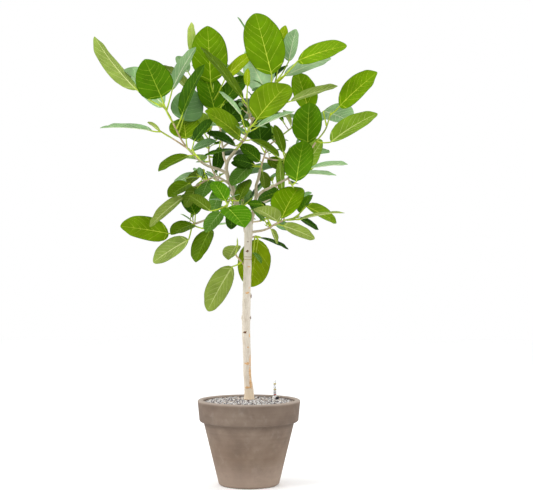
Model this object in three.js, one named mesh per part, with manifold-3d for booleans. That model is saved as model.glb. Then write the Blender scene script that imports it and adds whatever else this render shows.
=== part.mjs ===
// Potted ficus standard: a slim bare trunk, an open crown of broad leaves, and a tapered clay pot.
// Millimetres, +Z up. The origin is the centre of the pot's flat underside, and the front faces -Y.

import * as THREE from "three";
import { mergeVertices } from "three/addons/utils/BufferGeometryUtils.js";
import Module from "manifold-3d";

const wasm = await Module();
wasm.setup();

// Gap between neighbouring solids
const CLEARANCE = 0.3;

// Pot, as radii and heights of its turned profile
const POT = {
  sides: 32,
  rimRadius: 155,
  rimHeight: 256,
  rimEdge: 5,
  rimInnerRadius: 138,
  collarRadius: 150,
  collarHeight: 190,
  collarEdge: 8,
  shoulderRadius: 137,
  footRadius: 93,
  footEdge: 10,
  floorThickness: 14,
  floorInnerRadius: 78,
};

// Gravel that fills the pot, flat but for its sunken edge
const GRAVEL = { height: 252, flatRadius: 112, edgeHeight: 248 };

// Water gauge that stands in the gravel
const GAUGE = {
  x: 79,
  y: 80,
  collarRadius: 8,
  collarHeight: 6,
  tubeRadius: 5,
  tubeHeight: 50,
  capX: 86,
  capY: 32,
  capRadius: 5,
  capHeight: 9,
};

// Trunk as [x, y, height, radius], from its flat cut on the gravel to the fork
const TRUNK = [
  [0, 35, 246, 19],
  [0, 34, 262, 15.5],
  [-1, 33, 290, 13.5],
  [-5, 30, 330, 12.2],
  [-7, 26, 400, 12],
  [-9, 21, 490, 12.6],
  [-7, 15, 570, 12.2],
  [-5, 10, 650, 12],
  [-3, 5, 720, 12],
  [-1, 0, 775, 12.5],
  [0, 0, 795, 10],
];

// Boughs as [x, y, height, radius], each from the side of its parent to the mass that it carries
const BOUGHS = {
  bough_leader: {
    from: "trunk",
    path: [
      [-6, 0, 785, 9], [-24, 0, 815, 8.2], [-36, 0, 845, 7.8], [-48, 0, 890, 7], [-63, 0, 926, 6.5],
      [-69, 0, 950, 6],
    ],
  },
  bough_left: {
    from: "bough_leader",
    path: [
      [-66, 0, 938, 4.5], [-82, -5, 948, 4.2], [-127, -20, 963, 4], [-148, -28, 977, 3.8],
      [-166, -36, 994, 3.6], [-182, -44, 1011, 3.5],
    ],
  },
  bough_upper: {
    from: "bough_leader",
    path: [
      [-70, 0, 951, 5], [-64, -4, 978, 5], [-45, -10, 1002, 4.8], [-27, -15, 1026, 4.6],
      [-12, -19, 1046, 4.4],
    ],
  },
  bough_middle: {
    from: "bough_upper",
    path: [[-67, -2, 966, 3.4], [-76, 2, 990, 3.3], [-79, 4, 1012, 3.2], [-84, 5, 1046, 3]],
  },
  bough_front: {
    from: "bough_upper",
    path: [[-38, -13, 1010, 3], [-32, -28, 1020, 2.8], [-22, -48, 1029, 2.6]],
  },
  bough_side: {
    from: "bough_leader",
    path: [[-52, 0, 900, 3.4], [-75, -16, 918, 3.2], [-98, -28, 928, 3], [-116, -38, 922, 2.8]],
  },
  bough_centre: {
    from: "bough_leader",
    path: [[-40, 0, 858, 3.2], [-42, -24, 864, 3], [-45, -47, 865, 2.8]],
  },
  bough_low_left: {
    from: "bough_leader",
    path: [[-36, 0, 846, 4], [-75, -20, 822, 3.8], [-130, -46, 797, 3.4], [-156, -58, 787, 3.2]],
  },
  bough_inner: {
    from: "trunk",
    path: [
      [4, 2, 788, 6.5], [11, 4, 814, 6], [19, 7, 851, 5.6], [22, 10, 881, 5], [21, 12, 902, 4.6],
      [27, 13, 922, 4.2], [34, 15, 952, 3.8],
    ],
  },
  bough_right: {
    from: "bough_inner",
    path: [
      [22, 8, 868, 4], [40, 0, 885, 3.8], [60, -10, 894, 3.6], [88, -20, 908, 3.4],
      [117, -29, 923, 3.2],
    ],
  },
  bough_low_right: {
    from: "trunk",
    path: [[0, 2, 760, 4], [22, -4, 764, 3.6], [42, -12, 767, 3.2], [62, -19, 774, 3]],
  },
  bough_back_left: {
    from: "bough_leader",
    path: [[-44, 0, 876, 4], [-70, 40, 890, 3.8], [-92, 80, 908, 3.6], [-105, 115, 935, 3.2]],
  },
  bough_back_right: {
    from: "bough_inner",
    path: [[15, 6, 836, 4.4], [35, 45, 850, 4.2], [62, 85, 868, 3.8], [80, 125, 895, 3.4]],
  },
  bough_back_low: {
    from: "trunk",
    path: [[-2, 4, 742, 4.4], [-8, 45, 752, 4.2], [-14, 90, 768, 3.8], [-18, 130, 795, 3.4]],
  },
  bough_back_high: {
    from: "bough_middle",
    path: [[-80, 4, 1018, 2.8], [-66, 40, 1034, 2.8], [-46, 85, 1052, 2.8], [-30, 120, 1078, 2.8]],
  },
};

// Leaves are rows of [place along the twig from 0 to 1, turn, rise, reach, width, roll].
// Turn is degrees round from the front, rise is degrees up, and reach is from the twig to the tip.
// Width is a share of the blade's length, and roll turns the blade about its own length.
// A row may go on with the stalk's share of the reach, and a kink: how far the blade's foot stands
// to the left of the straight line from twig to tip, seen from the front.
// A mass's stems start at its bough's tip.
const MASSES = {
  foliage_top: {
    from: "bough_upper",
    twigs: [
      {
        path: [[-12, -19, 1046], [10, -25, 1095], [40, -30, 1140], [70, -35, 1195], [90, -35, 1225]],
        leaves: [
          [0.8, 230, 75, 245, 0.6, -50, 0.18, -10], [0.95, 60, 20, 250, 0.42, 65, 0.35, 25],
          [0.55, 105, 15, 245, 0.3, -30, 0.35, -10],
        ],
      },
      {
        path: [[40, -30, 1140], [60, 30, 1175], [80, 75, 1225]],
        leaves: [
          [0.95, 65, 20, 200, 0.4, -20, 0.2, 10], [1, 90, 80, 180, 0.4, 60, 0.4, 0],
          [0.95, 60, 65, 180, 0.6, -10, 0.45, -15], [0.5, 240, 60, 170, 0.76, 85, 0.15, 0],
          [0.8, 235, 60, 270, 0.3, 25],
        ],
      },
      {
        path: [[10, -25, 1095], [0, -80, 1115], [-5, -100, 1155]],
        leaves: [[0.8, 250, 50, 235, 0.28, -15, 0.1, 0], [1, 5, 55, 100, 0.4, 140, 0.4, 0]],
      },
    ],
  },
  foliage_middle: {
    from: "bough_middle",
    twigs: [
      {
        path: [[-84, 5, 1046], [-90, 10, 1090], [-105, 20, 1130], [-110, 30, 1180], [-110, 35, 1205]],
        leaves: [
          [0.9, 265, 85, 205, 0.64, -75, 0.15, 5], [0.4, 235, 70, 150, 0.66, -35, 0.15, 0],
          [0.5, 115, 50, 155, 0.6, 40, 0.25, 0], [0.2, 120, 45, 115, 0.8, 55],
          [0.75, 100, 50, 200, 0.36, 50, 0.35, 15], [0.05, 200, -65, 115, 0.5, 180, 0.3, 0],
        ],
      },
      {
        path: [[-90, 10, 1090], [-130, 80, 1155], [-165, 110, 1230]],
        leaves: [
          [0.95, 350, 65, 200, 0.34, 55, 0.45, 0], [0.95, 310, 45, 115, 0.6, 30, 0.45, 0],
          [0.65, 310, 30, 185, 0.36, 5, 0.3, 10],
        ],
      },
    ],
  },
  foliage_left: {
    from: "bough_left",
    twigs: [
      {
        path: [
          [-182, -44, 1011], [-200, -50, 1035], [-225, -60, 1085], [-240, -65, 1115],
          [-260, -70, 1140],
        ],
        leaves: [
          [0.7, 330, 50, 205, 0.8, -145, 0.35, 0], [0.6, 250, 45, 230, 0.54, 60, 0.25, -15],
          [0.95, 255, 45, 310, 0.32, 150, 0.3, 20], [0.85, 60, 60, 210, 0.36, -10, 0.3, 10],
          [0.45, 115, 65, 220, 0.34, 20, 0.2, 0], [0.35, 150, 60, 165, 0.86, -140, 0.3, 0],
        ],
      },
      {
        path: [[-182, -44, 1011], [-220, -70, 1035], [-270, -85, 1065]],
        leaves: [[0.9, 300, 0, 195, 0.3, 10, 0.15, 0], [0.65, 240, 30, 90, 0.4, 45, 0.4, 0]],
      },
      {
        path: [[-182, -44, 1011], [-182, -110, 1008], [-160, -135, 990], [-145, -150, 975]],
        leaves: [
          [0.3, 190, 45, 140, 0.96, -10, 0.3, 0], [0.7, 115, 55, 120, 0.46, 35, 0.25, 10],
          [0.85, 295, -25, 125, 0.5, -25, 0.15, -5], [1, 150, 30, 110, 0.36, -50, 0.1, 30],
        ],
      },
    ],
  },
  foliage_low_left: {
    from: "bough_low_left",
    twigs: [
      {
        path: [[-156, -58, 787], [-185, -65, 780], [-205, -70, 775]],
        leaves: [
          [0.95, 300, 0, 195, 0.52, -65, 0.2, 20], [0.1, 315, -20, 100, 0.62, -25, 0.05, 0],
          [0.25, 305, -40, 175, 0.46, 75, 0.25, 25], [0.3, 15, -60, 130, 0.58, -5, 0.2, 55],
          [0.1, 220, 60, 105, 0.8, -20, 0.25, -10],
        ],
      },
    ],
  },
  foliage_side: {
    from: "bough_side",
    twigs: [
      {
        path: [[-116, -38, 922], [-145, -60, 905], [-160, -70, 895], [-180, -80, 890]],
        leaves: [
          [1, 310, -40, 180, 0.3, 65, 0.15, 10], [0.8, 310, -20, 95, 0.6, -30, 0.05, -15],
          [0.45, 320, -45, 100, 0.62, 90, 0.2, 0], [0.05, 340, -45, 90, 0.7, 0, 0.05, 0],
          [0.15, 245, -5, 115, 0.4, 30, 0.3, -25], [0.15, 235, -10, 75, 0.6, 5, 0.05, -35],
          [0.05, 225, 20, 50, 0.5, 60, 0.05, 0],
        ],
      },
    ],
  },
  foliage_centre: {
    from: "bough_centre",
    twigs: [
      {
        path: [[-45, -47, 865], [-60, -100, 850], [-60, -140, 840]],
        leaves: [
          [0.8, 35, -40, 115, 0.86, 15, 0.1, -10], [1, 220, 45, 100, 0.62, -20, 0.15, 0],
          [0.45, 315, -45, 135, 0.56, -30, 0.35, 0], [1, 305, 10, 135, 0.45, 35, 0.4, 30],
          [0.15, 225, -25, 95, 0.62, -110, 0.2, -40], [0.3, 135, 40, 100, 0.62, -5, 0.15, -20],
          [0.15, 190, -75, 95, 0.6, 180, 0.3, 0],
        ],
      },
    ],
  },
  foliage_front: {
    from: "bough_front",
    twigs: [
      {
        path: [[-22, -48, 1029], [-10, -90, 1035], [0, -150, 1060]],
        leaves: [
          [0.3, 315, 25, 175, 0.45, -75, 0.1, 0], [0.05, 300, 10, 120, 0.48, -45, 0.15, 15],
          [0.05, 300, -20, 135, 0.3, -20, 0.2, 15], [0.75, 250, 55, 155, 0.3, 35, 0.35, -15],
          [0.3, 65, -25, 125, 0.4, 20, 0.15, 10], [1, 120, 45, 195, 0.76, 35, 0.2, 0],
          [0.85, 70, 20, 155, 0.3, -10, 0.2, 0],
        ],
      },
    ],
  },
  foliage_inner: {
    from: "bough_inner",
    twigs: [
      {
        path: [[34, 15, 952], [45, 20, 990], [55, 30, 1020], [95, 45, 1055], [165, 60, 1110]],
        leaves: [
          [0.25, 270, 80, 125, 0.66, -70, 0.2, 10], [1, 205, 75, 155, 0.6, -30, 0.15, -20],
          [0.8, 215, 50, 75, 0.4, 75, 0.1, 0], [0.05, 305, 10, 105, 0.6, -75, 0.3, 0],
          [0.05, 165, -55, 85, 0.6, 15], [0.05, 305, -30, 125, 0.62, -25, 0.25, -20],
          [0.1, 290, 35, 90, 0.6, -70, 0.1, 0], [0.6, 275, 0, 105, 0.45, -70, 0.2, 0],
          [0.05, 285, 5, 95, 0.45, -75, 0.2, 0],
        ],
      },
      {
        path: [[45, 20, 990], [80, 0, 980], [110, -20, 980]],
        leaves: [
          [1, 220, 65, 120, 0.34, -20, 0.2, 0], [0.1, 85, -35, 60, 0.75, 60, 0.1, 0],
          [0.95, 200, -75, 65, 0.5, -20, 0.15, 0],
        ],
      },
    ],
  },
  foliage_right: {
    from: "bough_right",
    twigs: [
      {
        path: [[117, -29, 923], [165, -35, 980], [200, -35, 1030], [230, -30, 1070], [245, -25, 1115]],
        leaves: [
          [1, 55, 35, 200, 0.54, 75, 0.2, 0], [0.85, 130, 10, 105, 0.85, -25, 0, 45],
          [0.6, 60, 20, 215, 0.44, -25, 0.2, -20], [0.4, 170, 75, 165, 0.72, -10],
          [0.15, 130, 40, 145, 0.66, -85, 0.2, -20], [0.25, 110, 0, 155, 0.34, -20, 0.2, -15],
        ],
      },
      {
        path: [[117, -29, 923], [125, -90, 905], [130, -110, 895]],
        leaves: [[0.9, 145, 65, 150, 0.67, 5, 0.1, -10], [0.25, 150, -10, 55, 0.5, 25, 0.15, -10]],
      },
    ],
  },
  foliage_low_right: {
    from: "bough_low_right",
    twigs: [
      {
        path: [[62, -19, 774], [80, -70, 785], [105, -75, 795], [145, -45, 805]],
        leaves: [
          [0.45, 135, 50, 145, 0.84, 15, 0.15, -5], [1, 140, 45, 100, 0.56, 0],
          [0.9, 115, -5, 145, 0.46, 55, 0.25, 40], [0.85, 65, 5, 170, 0.26, -10, 0.15, -5],
          [0.7, 115, -15, 110, 0.45, 50, 0.35, 15], [0.45, 60, -20, 135, 0.4, -60, 0.15, 0],
          [0.5, 320, 20, 115, 0.6, 15, 0.05, 0], [0.05, 25, -45, 70, 0.4, -95, 0.1, 0],
          [0.1, 315, 35, 110, 0.4, -75, 0.3, 0], [0.1, 325, 55, 90, 0.6, -135, 0.6, 0],
          [0.15, 310, 35, 115, 0.5, -60, 0.65, -30], [0.3, 60, -10, 60, 0.6, -60, 0.1, 0],
        ],
      },
      {
        path: [[105, -75, 795], [105, -30, 820], [105, 10, 850]],
        leaves: [[1, 345, 70, 135, 0.32, 50, 0.25, 0], [0.9, 230, 10, 105, 0.6, -55, 0.25, -35]],
      },
    ],
  },
  foliage_trunk_left: {
    from: "trunk",
    twigs: [
      {
        path: [[-8, 10, 655], [-30, 5, 680], [-40, 0, 695], [-35, 0, 715], [-35, 0, 730]],
        leaves: [[0.25, 305, -50, 190, 0.48, 95, 0.15, -15], [0.95, 210, -40, 75, 0.85, 0, 0.1, 0]],
      },
    ],
  },
  foliage_trunk_back: {
    from: "trunk",
    twigs: [
      {
        path: [[2, 5, 744], [20, 20, 750], [27, 27, 749]],
        leaves: [
          [0.65, 195, -70, 165, 0.64, -150, 0.05, 10], [0.6, 20, -55, 100, 0.5, 0, 0.55, -15],
          [0.75, 60, -20, 120, 0.3, 10, 0.1, 0],
        ],
      },
    ],
  },
  foliage_back_left: {
    from: "bough_back_left",
    seeded: 10,
    twigs: [
      {
        path: [[-105, 115, 935], [-125, 155, 985], [-130, 195, 1050], [-120, 225, 1120]],
        leaves: [],
      },
      {
        path: [[-105, 115, 935], [-95, 165, 925], [-75, 215, 930]],
        leaves: [],
      },
    ],
  },
  foliage_back_right: {
    from: "bough_back_right",
    seeded: 11,
    twigs: [
      {
        path: [[80, 125, 895], [95, 165, 950], [110, 200, 995], [125, 225, 1030]],
        leaves: [],
      },
      {
        path: [[80, 125, 895], [90, 170, 905], [90, 215, 925]],
        leaves: [],
      },
    ],
  },
  foliage_back_low: {
    from: "bough_back_low",
    seeded: 9,
    twigs: [
      {
        path: [[-18, 130, 795], [-22, 175, 830], [-20, 215, 880]],
        leaves: [],
      },
      {
        path: [[-18, 130, 795], [30, 175, 800], [75, 200, 815]],
        leaves: [],
      },
    ],
  },
  foliage_back_high: {
    from: "bough_back_high",
    seeded: 13,
    twigs: [
      {
        path: [[-30, 120, 1078], [0, 165, 1130], [20, 190, 1190], [25, 195, 1235]],
        leaves: [],
      },
      {
        path: [[-30, 120, 1078], [-60, 170, 1120], [-85, 190, 1190]],
        leaves: [],
      },
    ],
  },
};

// Sides of the round limbs
const TRUNK_SIDES = 12;
const BOUGH_SIDES = 7;
const TWIG_SIDES = 5;

// Leaf form
const STALK_SHARE = 0.2;
const LEAF_THICKNESS_SHARE = 0.014;
const WIDEST_AT = 0.43;
const BLADE_RINGS = 5;
const STALK_RADIUS = 1.7;
const TWIG_RADIUS = 2.6;
const TWIG_TIP_RADIUS = 1.8;

// Seeded leaves on the twigs that have no rows
const GOLDEN_ANGLE = 137.5;
const SEEDED_TURN = 240;
const SEEDED_REACH = 170;
const LEAF_GAP = 17;
const LIMB_GAP = 14;

const UP = new THREE.Vector3(0, 0, 1);
const FRONT = new THREE.Vector3(0, -1, 0);

// A repeatable number from 0 to 1 for any seed
function noise(seed) {
  const wave = Math.sin(seed * 12.9898) * 43758.5453;
  return wave - Math.floor(wave);
}

// A repeatable number from -1 to 1
function jitter(seed) {
  return 2 * noise(seed) - 1;
}

function radians(degrees) {
  return THREE.MathUtils.degToRad(degrees);
}

// A point a share of the way along a chain of points
function pointAlong(points, share) {
  const lengths = points.slice(1).map((p, i) => p.distanceTo(points[i]));
  let wanted = share * lengths.reduce((sum, length) => sum + length, 0);
  let step = 0;
  while (step < lengths.length - 1 && wanted > lengths[step]) {
    wanted -= lengths[step];
    step += 1;
  }
  return points[step].clone().lerp(points[step + 1], Math.min(1, wanted / lengths[step]));
}

// A direction from degrees round from the front and degrees up
function heading(turn, rise) {
  const level = Math.cos(radians(rise));
  return new THREE.Vector3(
    Math.sin(radians(turn)) * level, -Math.cos(radians(turn)) * level, Math.sin(radians(rise)),
  );
}

// The axes of a blade: along it, out of its upper face, and across it
function bladeAxes(along, roll) {
  const side = along.clone().cross(UP).normalize();
  const out = side.cross(along).applyAxisAngle(along, radians(roll));
  return { along, out, across: out.clone().cross(along) };
}

// A leaf as numbers: its twig point, the foot of its blade, axes, sizes and bends
function leafShape(node, [, turn, rise, reach, width, roll, stalk = STALK_SHARE, kink = 0], seed) {
  const straight = heading(turn, rise);
  const left = FRONT.clone().cross(straight).normalize();
  const foot = node.clone().addScaledVector(straight, reach * stalk).addScaledVector(left, kink);
  const along = node.clone().addScaledVector(straight, reach).sub(foot);
  const blade = along.length();
  return {
    node,
    foot,
    bent: kink !== 0,
    ...bladeAxes(along.normalize(), roll),
    blade,
    halfWidth: blade * width / 2,
    arch: 0.02 + 0.03 * noise(seed),
    fold: 0.12 + 0.25 * noise(seed + 0.5),
  };
}

// Share of the half width at a share of the blade's length
function outline(share) {
  const span = share < WIDEST_AT ? WIDEST_AT : 1 - WIDEST_AT;
  const away = Math.min(1, Math.abs(share - WIDEST_AT) / span);
  return (1 - away ** 2.3) ** 0.62;
}

// A point of the blade, by its shares along and across and its height over the middle surface
function bladePoint(leaf, along, across, height) {
  const half = leaf.halfWidth * outline(along) * across;
  const lift = leaf.arch * leaf.blade * 4 * along * (1 - along) + leaf.fold * Math.abs(half) + height;
  return leaf.foot.clone()
    .addScaledVector(leaf.along, leaf.blade * along)
    .addScaledVector(leaf.across, half)
    .addScaledVector(leaf.out, lift);
}

// The closed solid of a geometry
function solidOf(geometry) {
  geometry.deleteAttribute("normal");
  geometry.deleteAttribute("uv");
  const merged = mergeVertices(geometry, 1e-4);
  return new wasm.Manifold(new wasm.Mesh({
    numProp: 3,
    vertProperties: Float32Array.from(merged.attributes.position.array),
    triVerts: Uint32Array.from(merged.index.array),
  }));
}

function geometryOf(solid) {
  const mesh = solid.getMesh();
  const geometry = new THREE.BufferGeometry();
  geometry.setAttribute("position", new THREE.BufferAttribute(mesh.vertProperties, 3));
  geometry.setIndex(new THREE.BufferAttribute(mesh.triVerts, 1));
  return geometry;
}

function joined(solids) {
  return solids.reduce((whole, solid) => whole.add(solid));
}

// Moves every vertex of a geometry to where a function puts it
function reshape(geometry, place) {
  const position = geometry.attributes.position;
  for (let i = 0; i < position.count; i += 1) {
    const moved = place(new THREE.Vector3().fromBufferAttribute(position, i));
    position.setXYZ(i, moved.x, moved.y, moved.z);
  }
  return geometry;
}

// A round limb along a smooth curve through its points, with a radius for each point
function limbSolid(points, radii, sides, steps) {
  const curve = new THREE.CatmullRomCurve3(points, false, "centripetal");
  const frames = curve.computeFrenetFrames(steps, false);
  const geometry = new THREE.CylinderGeometry(1, 1, steps, sides, steps);
  return solidOf(reshape(geometry, (vertex) => {
    const ring = Math.round(steps / 2 - vertex.y);
    const share = ring / steps;
    const reached = share * (radii.length - 1);
    const step = Math.min(radii.length - 2, Math.floor(reached));
    const radius = THREE.MathUtils.lerp(radii[step], radii[step + 1], reached - step);
    return curve.getPoint(share)
      .addScaledVector(frames.normals[ring], vertex.x * radius)
      .addScaledVector(frames.binormals[ring], vertex.z * radius);
  }));
}

// A limb from rows of [x, y, height, radius], which may be made larger all round and longer at its tip
function limbFromRows(rows, sides, extra = 0) {
  const points = rows.map(([x, y, z]) => new THREE.Vector3(x, y, z));
  const [before, tip] = points.slice(-2);
  tip.addScaledVector(tip.clone().sub(before).normalize(), extra);
  return limbSolid(points, rows.map((row) => row[3] + extra), sides, rows.length - 1);
}

// A thin blade with sharp edges, from a sphere of four sides
function bladeSolid(leaf) {
  const thickness = leaf.blade * LEAF_THICKNESS_SHARE;
  const geometry = new THREE.SphereGeometry(1, 4, BLADE_RINGS);
  return solidOf(reshape(geometry, (vertex) => {
    const along = Math.acos(THREE.MathUtils.clamp(vertex.y, -1, 1)) / Math.PI;
    const ring = Math.sin(Math.PI * along);
    const across = ring > 0.01 ? vertex.x / ring : 0;
    const height = ring > 0.01 ? (vertex.z / ring) * thickness / 2 : 0;
    return bladePoint(leaf, along, across, height);
  }));
}

// A three-sided stalk from inside the twig to well inside the blade, by way of a bent blade's foot
function stalkSolid(leaf) {
  const end = bladePoint(leaf, 0.15, 0, 0);
  const points = leaf.bent ? [leaf.node, leaf.foot, end] : [leaf.node, end];
  const radii = points.map((point) => (point === end ? STALK_RADIUS * 0.7 : STALK_RADIUS));
  return limbSolid(points, radii, 3, points.length - 1);
}

function twigPoints(twig) {
  return twig.path.map(([x, y, z]) => new THREE.Vector3(x, y, z));
}

// Points all over a blade, to keep leaves clear of each other
function bladeSamples(leaf) {
  const samples = [];
  for (let i = 0; i <= 6; i += 1) {
    for (let j = -2; j <= 2; j += 1) {
      samples.push(bladePoint(leaf, i / 6, j / 2, 0));
    }
  }
  return samples;
}

function isClear(samples, taken, gap) {
  return samples.every((sample) => taken.every((point) => sample.distanceTo(point) > gap));
}

// Points along every limb and twig
function limbSamples() {
  const chains = [TRUNK, ...Object.values(BOUGHS).map((bough) => bough.path)];
  Object.values(MASSES).forEach((mass) => chains.push(...mass.twigs.map((twig) => twig.path)));
  return chains.flatMap((chain) => {
    const points = chain.map(([x, y, z]) => new THREE.Vector3(x, y, z));
    return Array.from({ length: 13 }, (_, i) => pointAlong(points, i / 12));
  });
}

// The leaves that the rows give
function leavesFromRows(mass, seed) {
  return mass.twigs.flatMap((twig, t) => twig.leaves.map((row, i) => (
    leafShape(pointAlong(twigPoints(twig), row[0]), row, seed + 10 * t + i)
  )));
}

// Seeded leaves, turned by the golden angle from one to the next over the half that faces away
// from the front, where there is room for them
function seededLeaves(mass, seed, taken, limbs) {
  const leaves = [];
  mass.twigs.forEach((twig, t) => {
    for (let i = 0; i < mass.seeded; i += 1) {
      const key = seed + 20 * t + i;
      const at = 0.25 + 0.75 * (i + 1) / mass.seeded;
      const round = (GOLDEN_ANGLE * i + SEEDED_TURN + 90 * t) % 360;
      const row = [
        at,
        90 + round / 2 + 20 * jitter(key + 0.1),
        -15 + 60 * at + 20 * jitter(key + 0.2),
        SEEDED_REACH + 35 * jitter(key + 0.3),
        0.54 + 0.08 * jitter(key + 0.4),
        20 * jitter(key + 0.6),
      ];
      const leaf = leafShape(pointAlong(twigPoints(twig), at), row, key);
      const samples = bladeSamples(leaf);
      if (isClear(samples, taken, LEAF_GAP) && isClear(samples, limbs, LIMB_GAP)) {
        leaves.push(leaf);
        taken.push(...samples);
      }
    }
  });
  return leaves;
}

// Every mass's leaves, by name
function growLeaves() {
  const names = Object.keys(MASSES);
  const grown = {};
  names.forEach((name, i) => {
    grown[name] = leavesFromRows(MASSES[name], 100 * (i + 1));
  });
  const taken = Object.values(grown).flat().flatMap(bladeSamples);
  const limbs = limbSamples();
  names.filter((name) => MASSES[name].seeded).forEach((name) => {
    grown[name] = seededLeaves(MASSES[name], 100 * (names.indexOf(name) + 1), taken, limbs);
  });
  return grown;
}

function massSolid(mass, leaves) {
  const twigs = mass.twigs.map((twig) => {
    const points = twigPoints(twig);
    const steps = points.length - 1;
    const radii = points.map((_, i) => THREE.MathUtils.lerp(TWIG_RADIUS, TWIG_TIP_RADIUS, i / steps));
    return limbSolid(points, radii, TWIG_SIDES, steps);
  });
  return joined([...twigs, ...leaves.flatMap((leaf) => [stalkSolid(leaf), bladeSolid(leaf)])]);
}

// A turned solid from a closed profile of [radius, height]
function turned(profile, sides) {
  const points = profile.map(([radius, height]) => new THREE.Vector2(radius, height));
  const geometry = new THREE.LatheGeometry(points, sides);
  return geometry.rotateX(Math.PI / 2);
}

// Points of a rounded corner, from one angle to another in degrees
function corner(radius, height, size, start, end, steps) {
  return Array.from({ length: steps + 1 }, (_, i) => {
    const angle = radians(THREE.MathUtils.lerp(start, end, i / steps));
    return [radius + size * Math.cos(angle), height + size * Math.sin(angle)];
  });
}

function innerRadiusAt(height) {
  const share = (height - POT.floorThickness) / (POT.rimHeight - POT.floorThickness);
  return THREE.MathUtils.lerp(POT.floorInnerRadius, POT.rimInnerRadius, share);
}

function potProfile() {
  const { rimRadius, rimHeight, rimEdge, collarRadius, collarHeight, collarEdge } = POT;
  return [
    [0, 0],
    ...corner(POT.footRadius - POT.footEdge, POT.footEdge, POT.footEdge, -90, 0, 3),
    [POT.shoulderRadius, collarHeight],
    ...corner(collarRadius - collarEdge, collarHeight + collarEdge, collarEdge, -80, 0, 3),
    ...corner(rimRadius - rimEdge, rimHeight - rimEdge, rimEdge, 0, 90, 3),
    ...corner(POT.rimInnerRadius + rimEdge, rimHeight - rimEdge, rimEdge, 90, 180, 2),
    [innerRadiusAt(GRAVEL.edgeHeight), GRAVEL.edgeHeight],
    [POT.floorInnerRadius, POT.floorThickness],
    [0, POT.floorThickness],
  ];
}

function gravelProfile() {
  const bottom = POT.floorThickness + CLEARANCE;
  return [
    [0, bottom],
    [innerRadiusAt(bottom) - 2 * CLEARANCE, bottom],
    [innerRadiusAt(GRAVEL.edgeHeight) - 2 * CLEARANCE, GRAVEL.edgeHeight],
    [GRAVEL.flatRadius, GRAVEL.height],
    [0, GRAVEL.height],
  ];
}

function upright(radius, bottom, top, x, y) {
  const geometry = new THREE.CylinderGeometry(radius, radius, top - bottom, 16);
  return geometry.rotateX(Math.PI / 2).translate(x, y, (bottom + top) / 2);
}

// A solid less what comes too near the limb that it grows from, and the limbs that this one grows from
function cutClear(solid, name) {
  if (name === "trunk") {
    return solid.subtract(limbFromRows(TRUNK, TRUNK_SIDES, CLEARANCE));
  }
  const { path, from } = BOUGHS[name];
  return cutClear(solid.subtract(limbFromRows(path, BOUGH_SIDES, CLEARANCE)), from);
}

const group = new THREE.Group();

function addPart(name, geometry, color, roughness) {
  const mesh = new THREE.Mesh(geometry, new THREE.MeshStandardMaterial({ color, roughness, metalness: 0 }));
  mesh.name = name;
  group.add(mesh);
}

function addPot() {
  addPart("pot", turned(potProfile(), POT.sides), 0x8f8074, 0.85);
  addPart("gravel", turned(gravelProfile(), POT.sides), 0x6b6257, 0.95);
}

function addGauge() {
  const foot = GRAVEL.height + CLEARANCE;
  const tubeFoot = foot + GAUGE.collarHeight + CLEARANCE;
  const { x, y } = GAUGE;
  const collar = upright(GAUGE.collarRadius, foot, foot + GAUGE.collarHeight, x, y);
  const tube = upright(GAUGE.tubeRadius, tubeFoot, tubeFoot + GAUGE.tubeHeight, x, y);
  const cap = upright(GAUGE.capRadius, foot, foot + GAUGE.capHeight, GAUGE.capX, GAUGE.capY);
  addPart("gauge_collar", collar, 0xd8d5cc, 0.6);
  addPart("gauge_tube", tube, 0xeceee8, 0.2);
  addPart("gauge_cap", cap, 0x1c1c1c, 0.5);
}

// The trunk is cut flat where it stands on the gravel
function addTrunk() {
  const below = new THREE.BoxGeometry(200, 200, 200).translate(0, 0, GRAVEL.height + CLEARANCE - 100);
  const trunk = limbFromRows(TRUNK, TRUNK_SIDES).subtract(solidOf(below));
  addPart("trunk", geometryOf(trunk), 0xc9bfae, 0.8);
}

// Each bough is cut clear of the limb that it grows from
function addBoughs() {
  Object.entries(BOUGHS).forEach(([name, bough]) => {
    addPart(name, geometryOf(cutClear(limbFromRows(bough.path, BOUGH_SIDES), bough.from)), 0xb9ad97, 0.8);
  });
}

function addFoliage() {
  const leaves = growLeaves();
  Object.entries(MASSES).forEach(([name, mass]) => {
    addPart(name, geometryOf(cutClear(massSolid(mass, leaves[name]), mass.from)), 0x4f8016, 0.5);
  });
}

addPot();
addGauge();
addTrunk();
addBoughs();
addFoliage();

export default group;
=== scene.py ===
# Looks of a potted ficus standard: gravel, clay pot, bark, and leaves with their veins.
# The plant grows by the same rule as its solids, in millimetres, and is carried to finer twigs.

import math
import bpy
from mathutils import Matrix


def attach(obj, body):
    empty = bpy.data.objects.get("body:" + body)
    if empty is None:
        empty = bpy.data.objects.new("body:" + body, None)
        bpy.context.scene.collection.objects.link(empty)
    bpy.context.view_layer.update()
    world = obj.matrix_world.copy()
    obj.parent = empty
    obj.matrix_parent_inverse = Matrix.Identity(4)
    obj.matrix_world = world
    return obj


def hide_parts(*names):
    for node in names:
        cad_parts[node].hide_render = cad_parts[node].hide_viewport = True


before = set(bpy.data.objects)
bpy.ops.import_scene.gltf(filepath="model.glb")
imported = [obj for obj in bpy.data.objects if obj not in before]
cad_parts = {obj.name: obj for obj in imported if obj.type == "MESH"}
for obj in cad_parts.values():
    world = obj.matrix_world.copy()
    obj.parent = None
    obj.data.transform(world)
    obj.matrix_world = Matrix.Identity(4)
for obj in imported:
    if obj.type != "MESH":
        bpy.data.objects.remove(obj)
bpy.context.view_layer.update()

from types import SimpleNamespace

import bpy
import numpy as np
from mathutils import Vector

MM = 0.001

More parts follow.
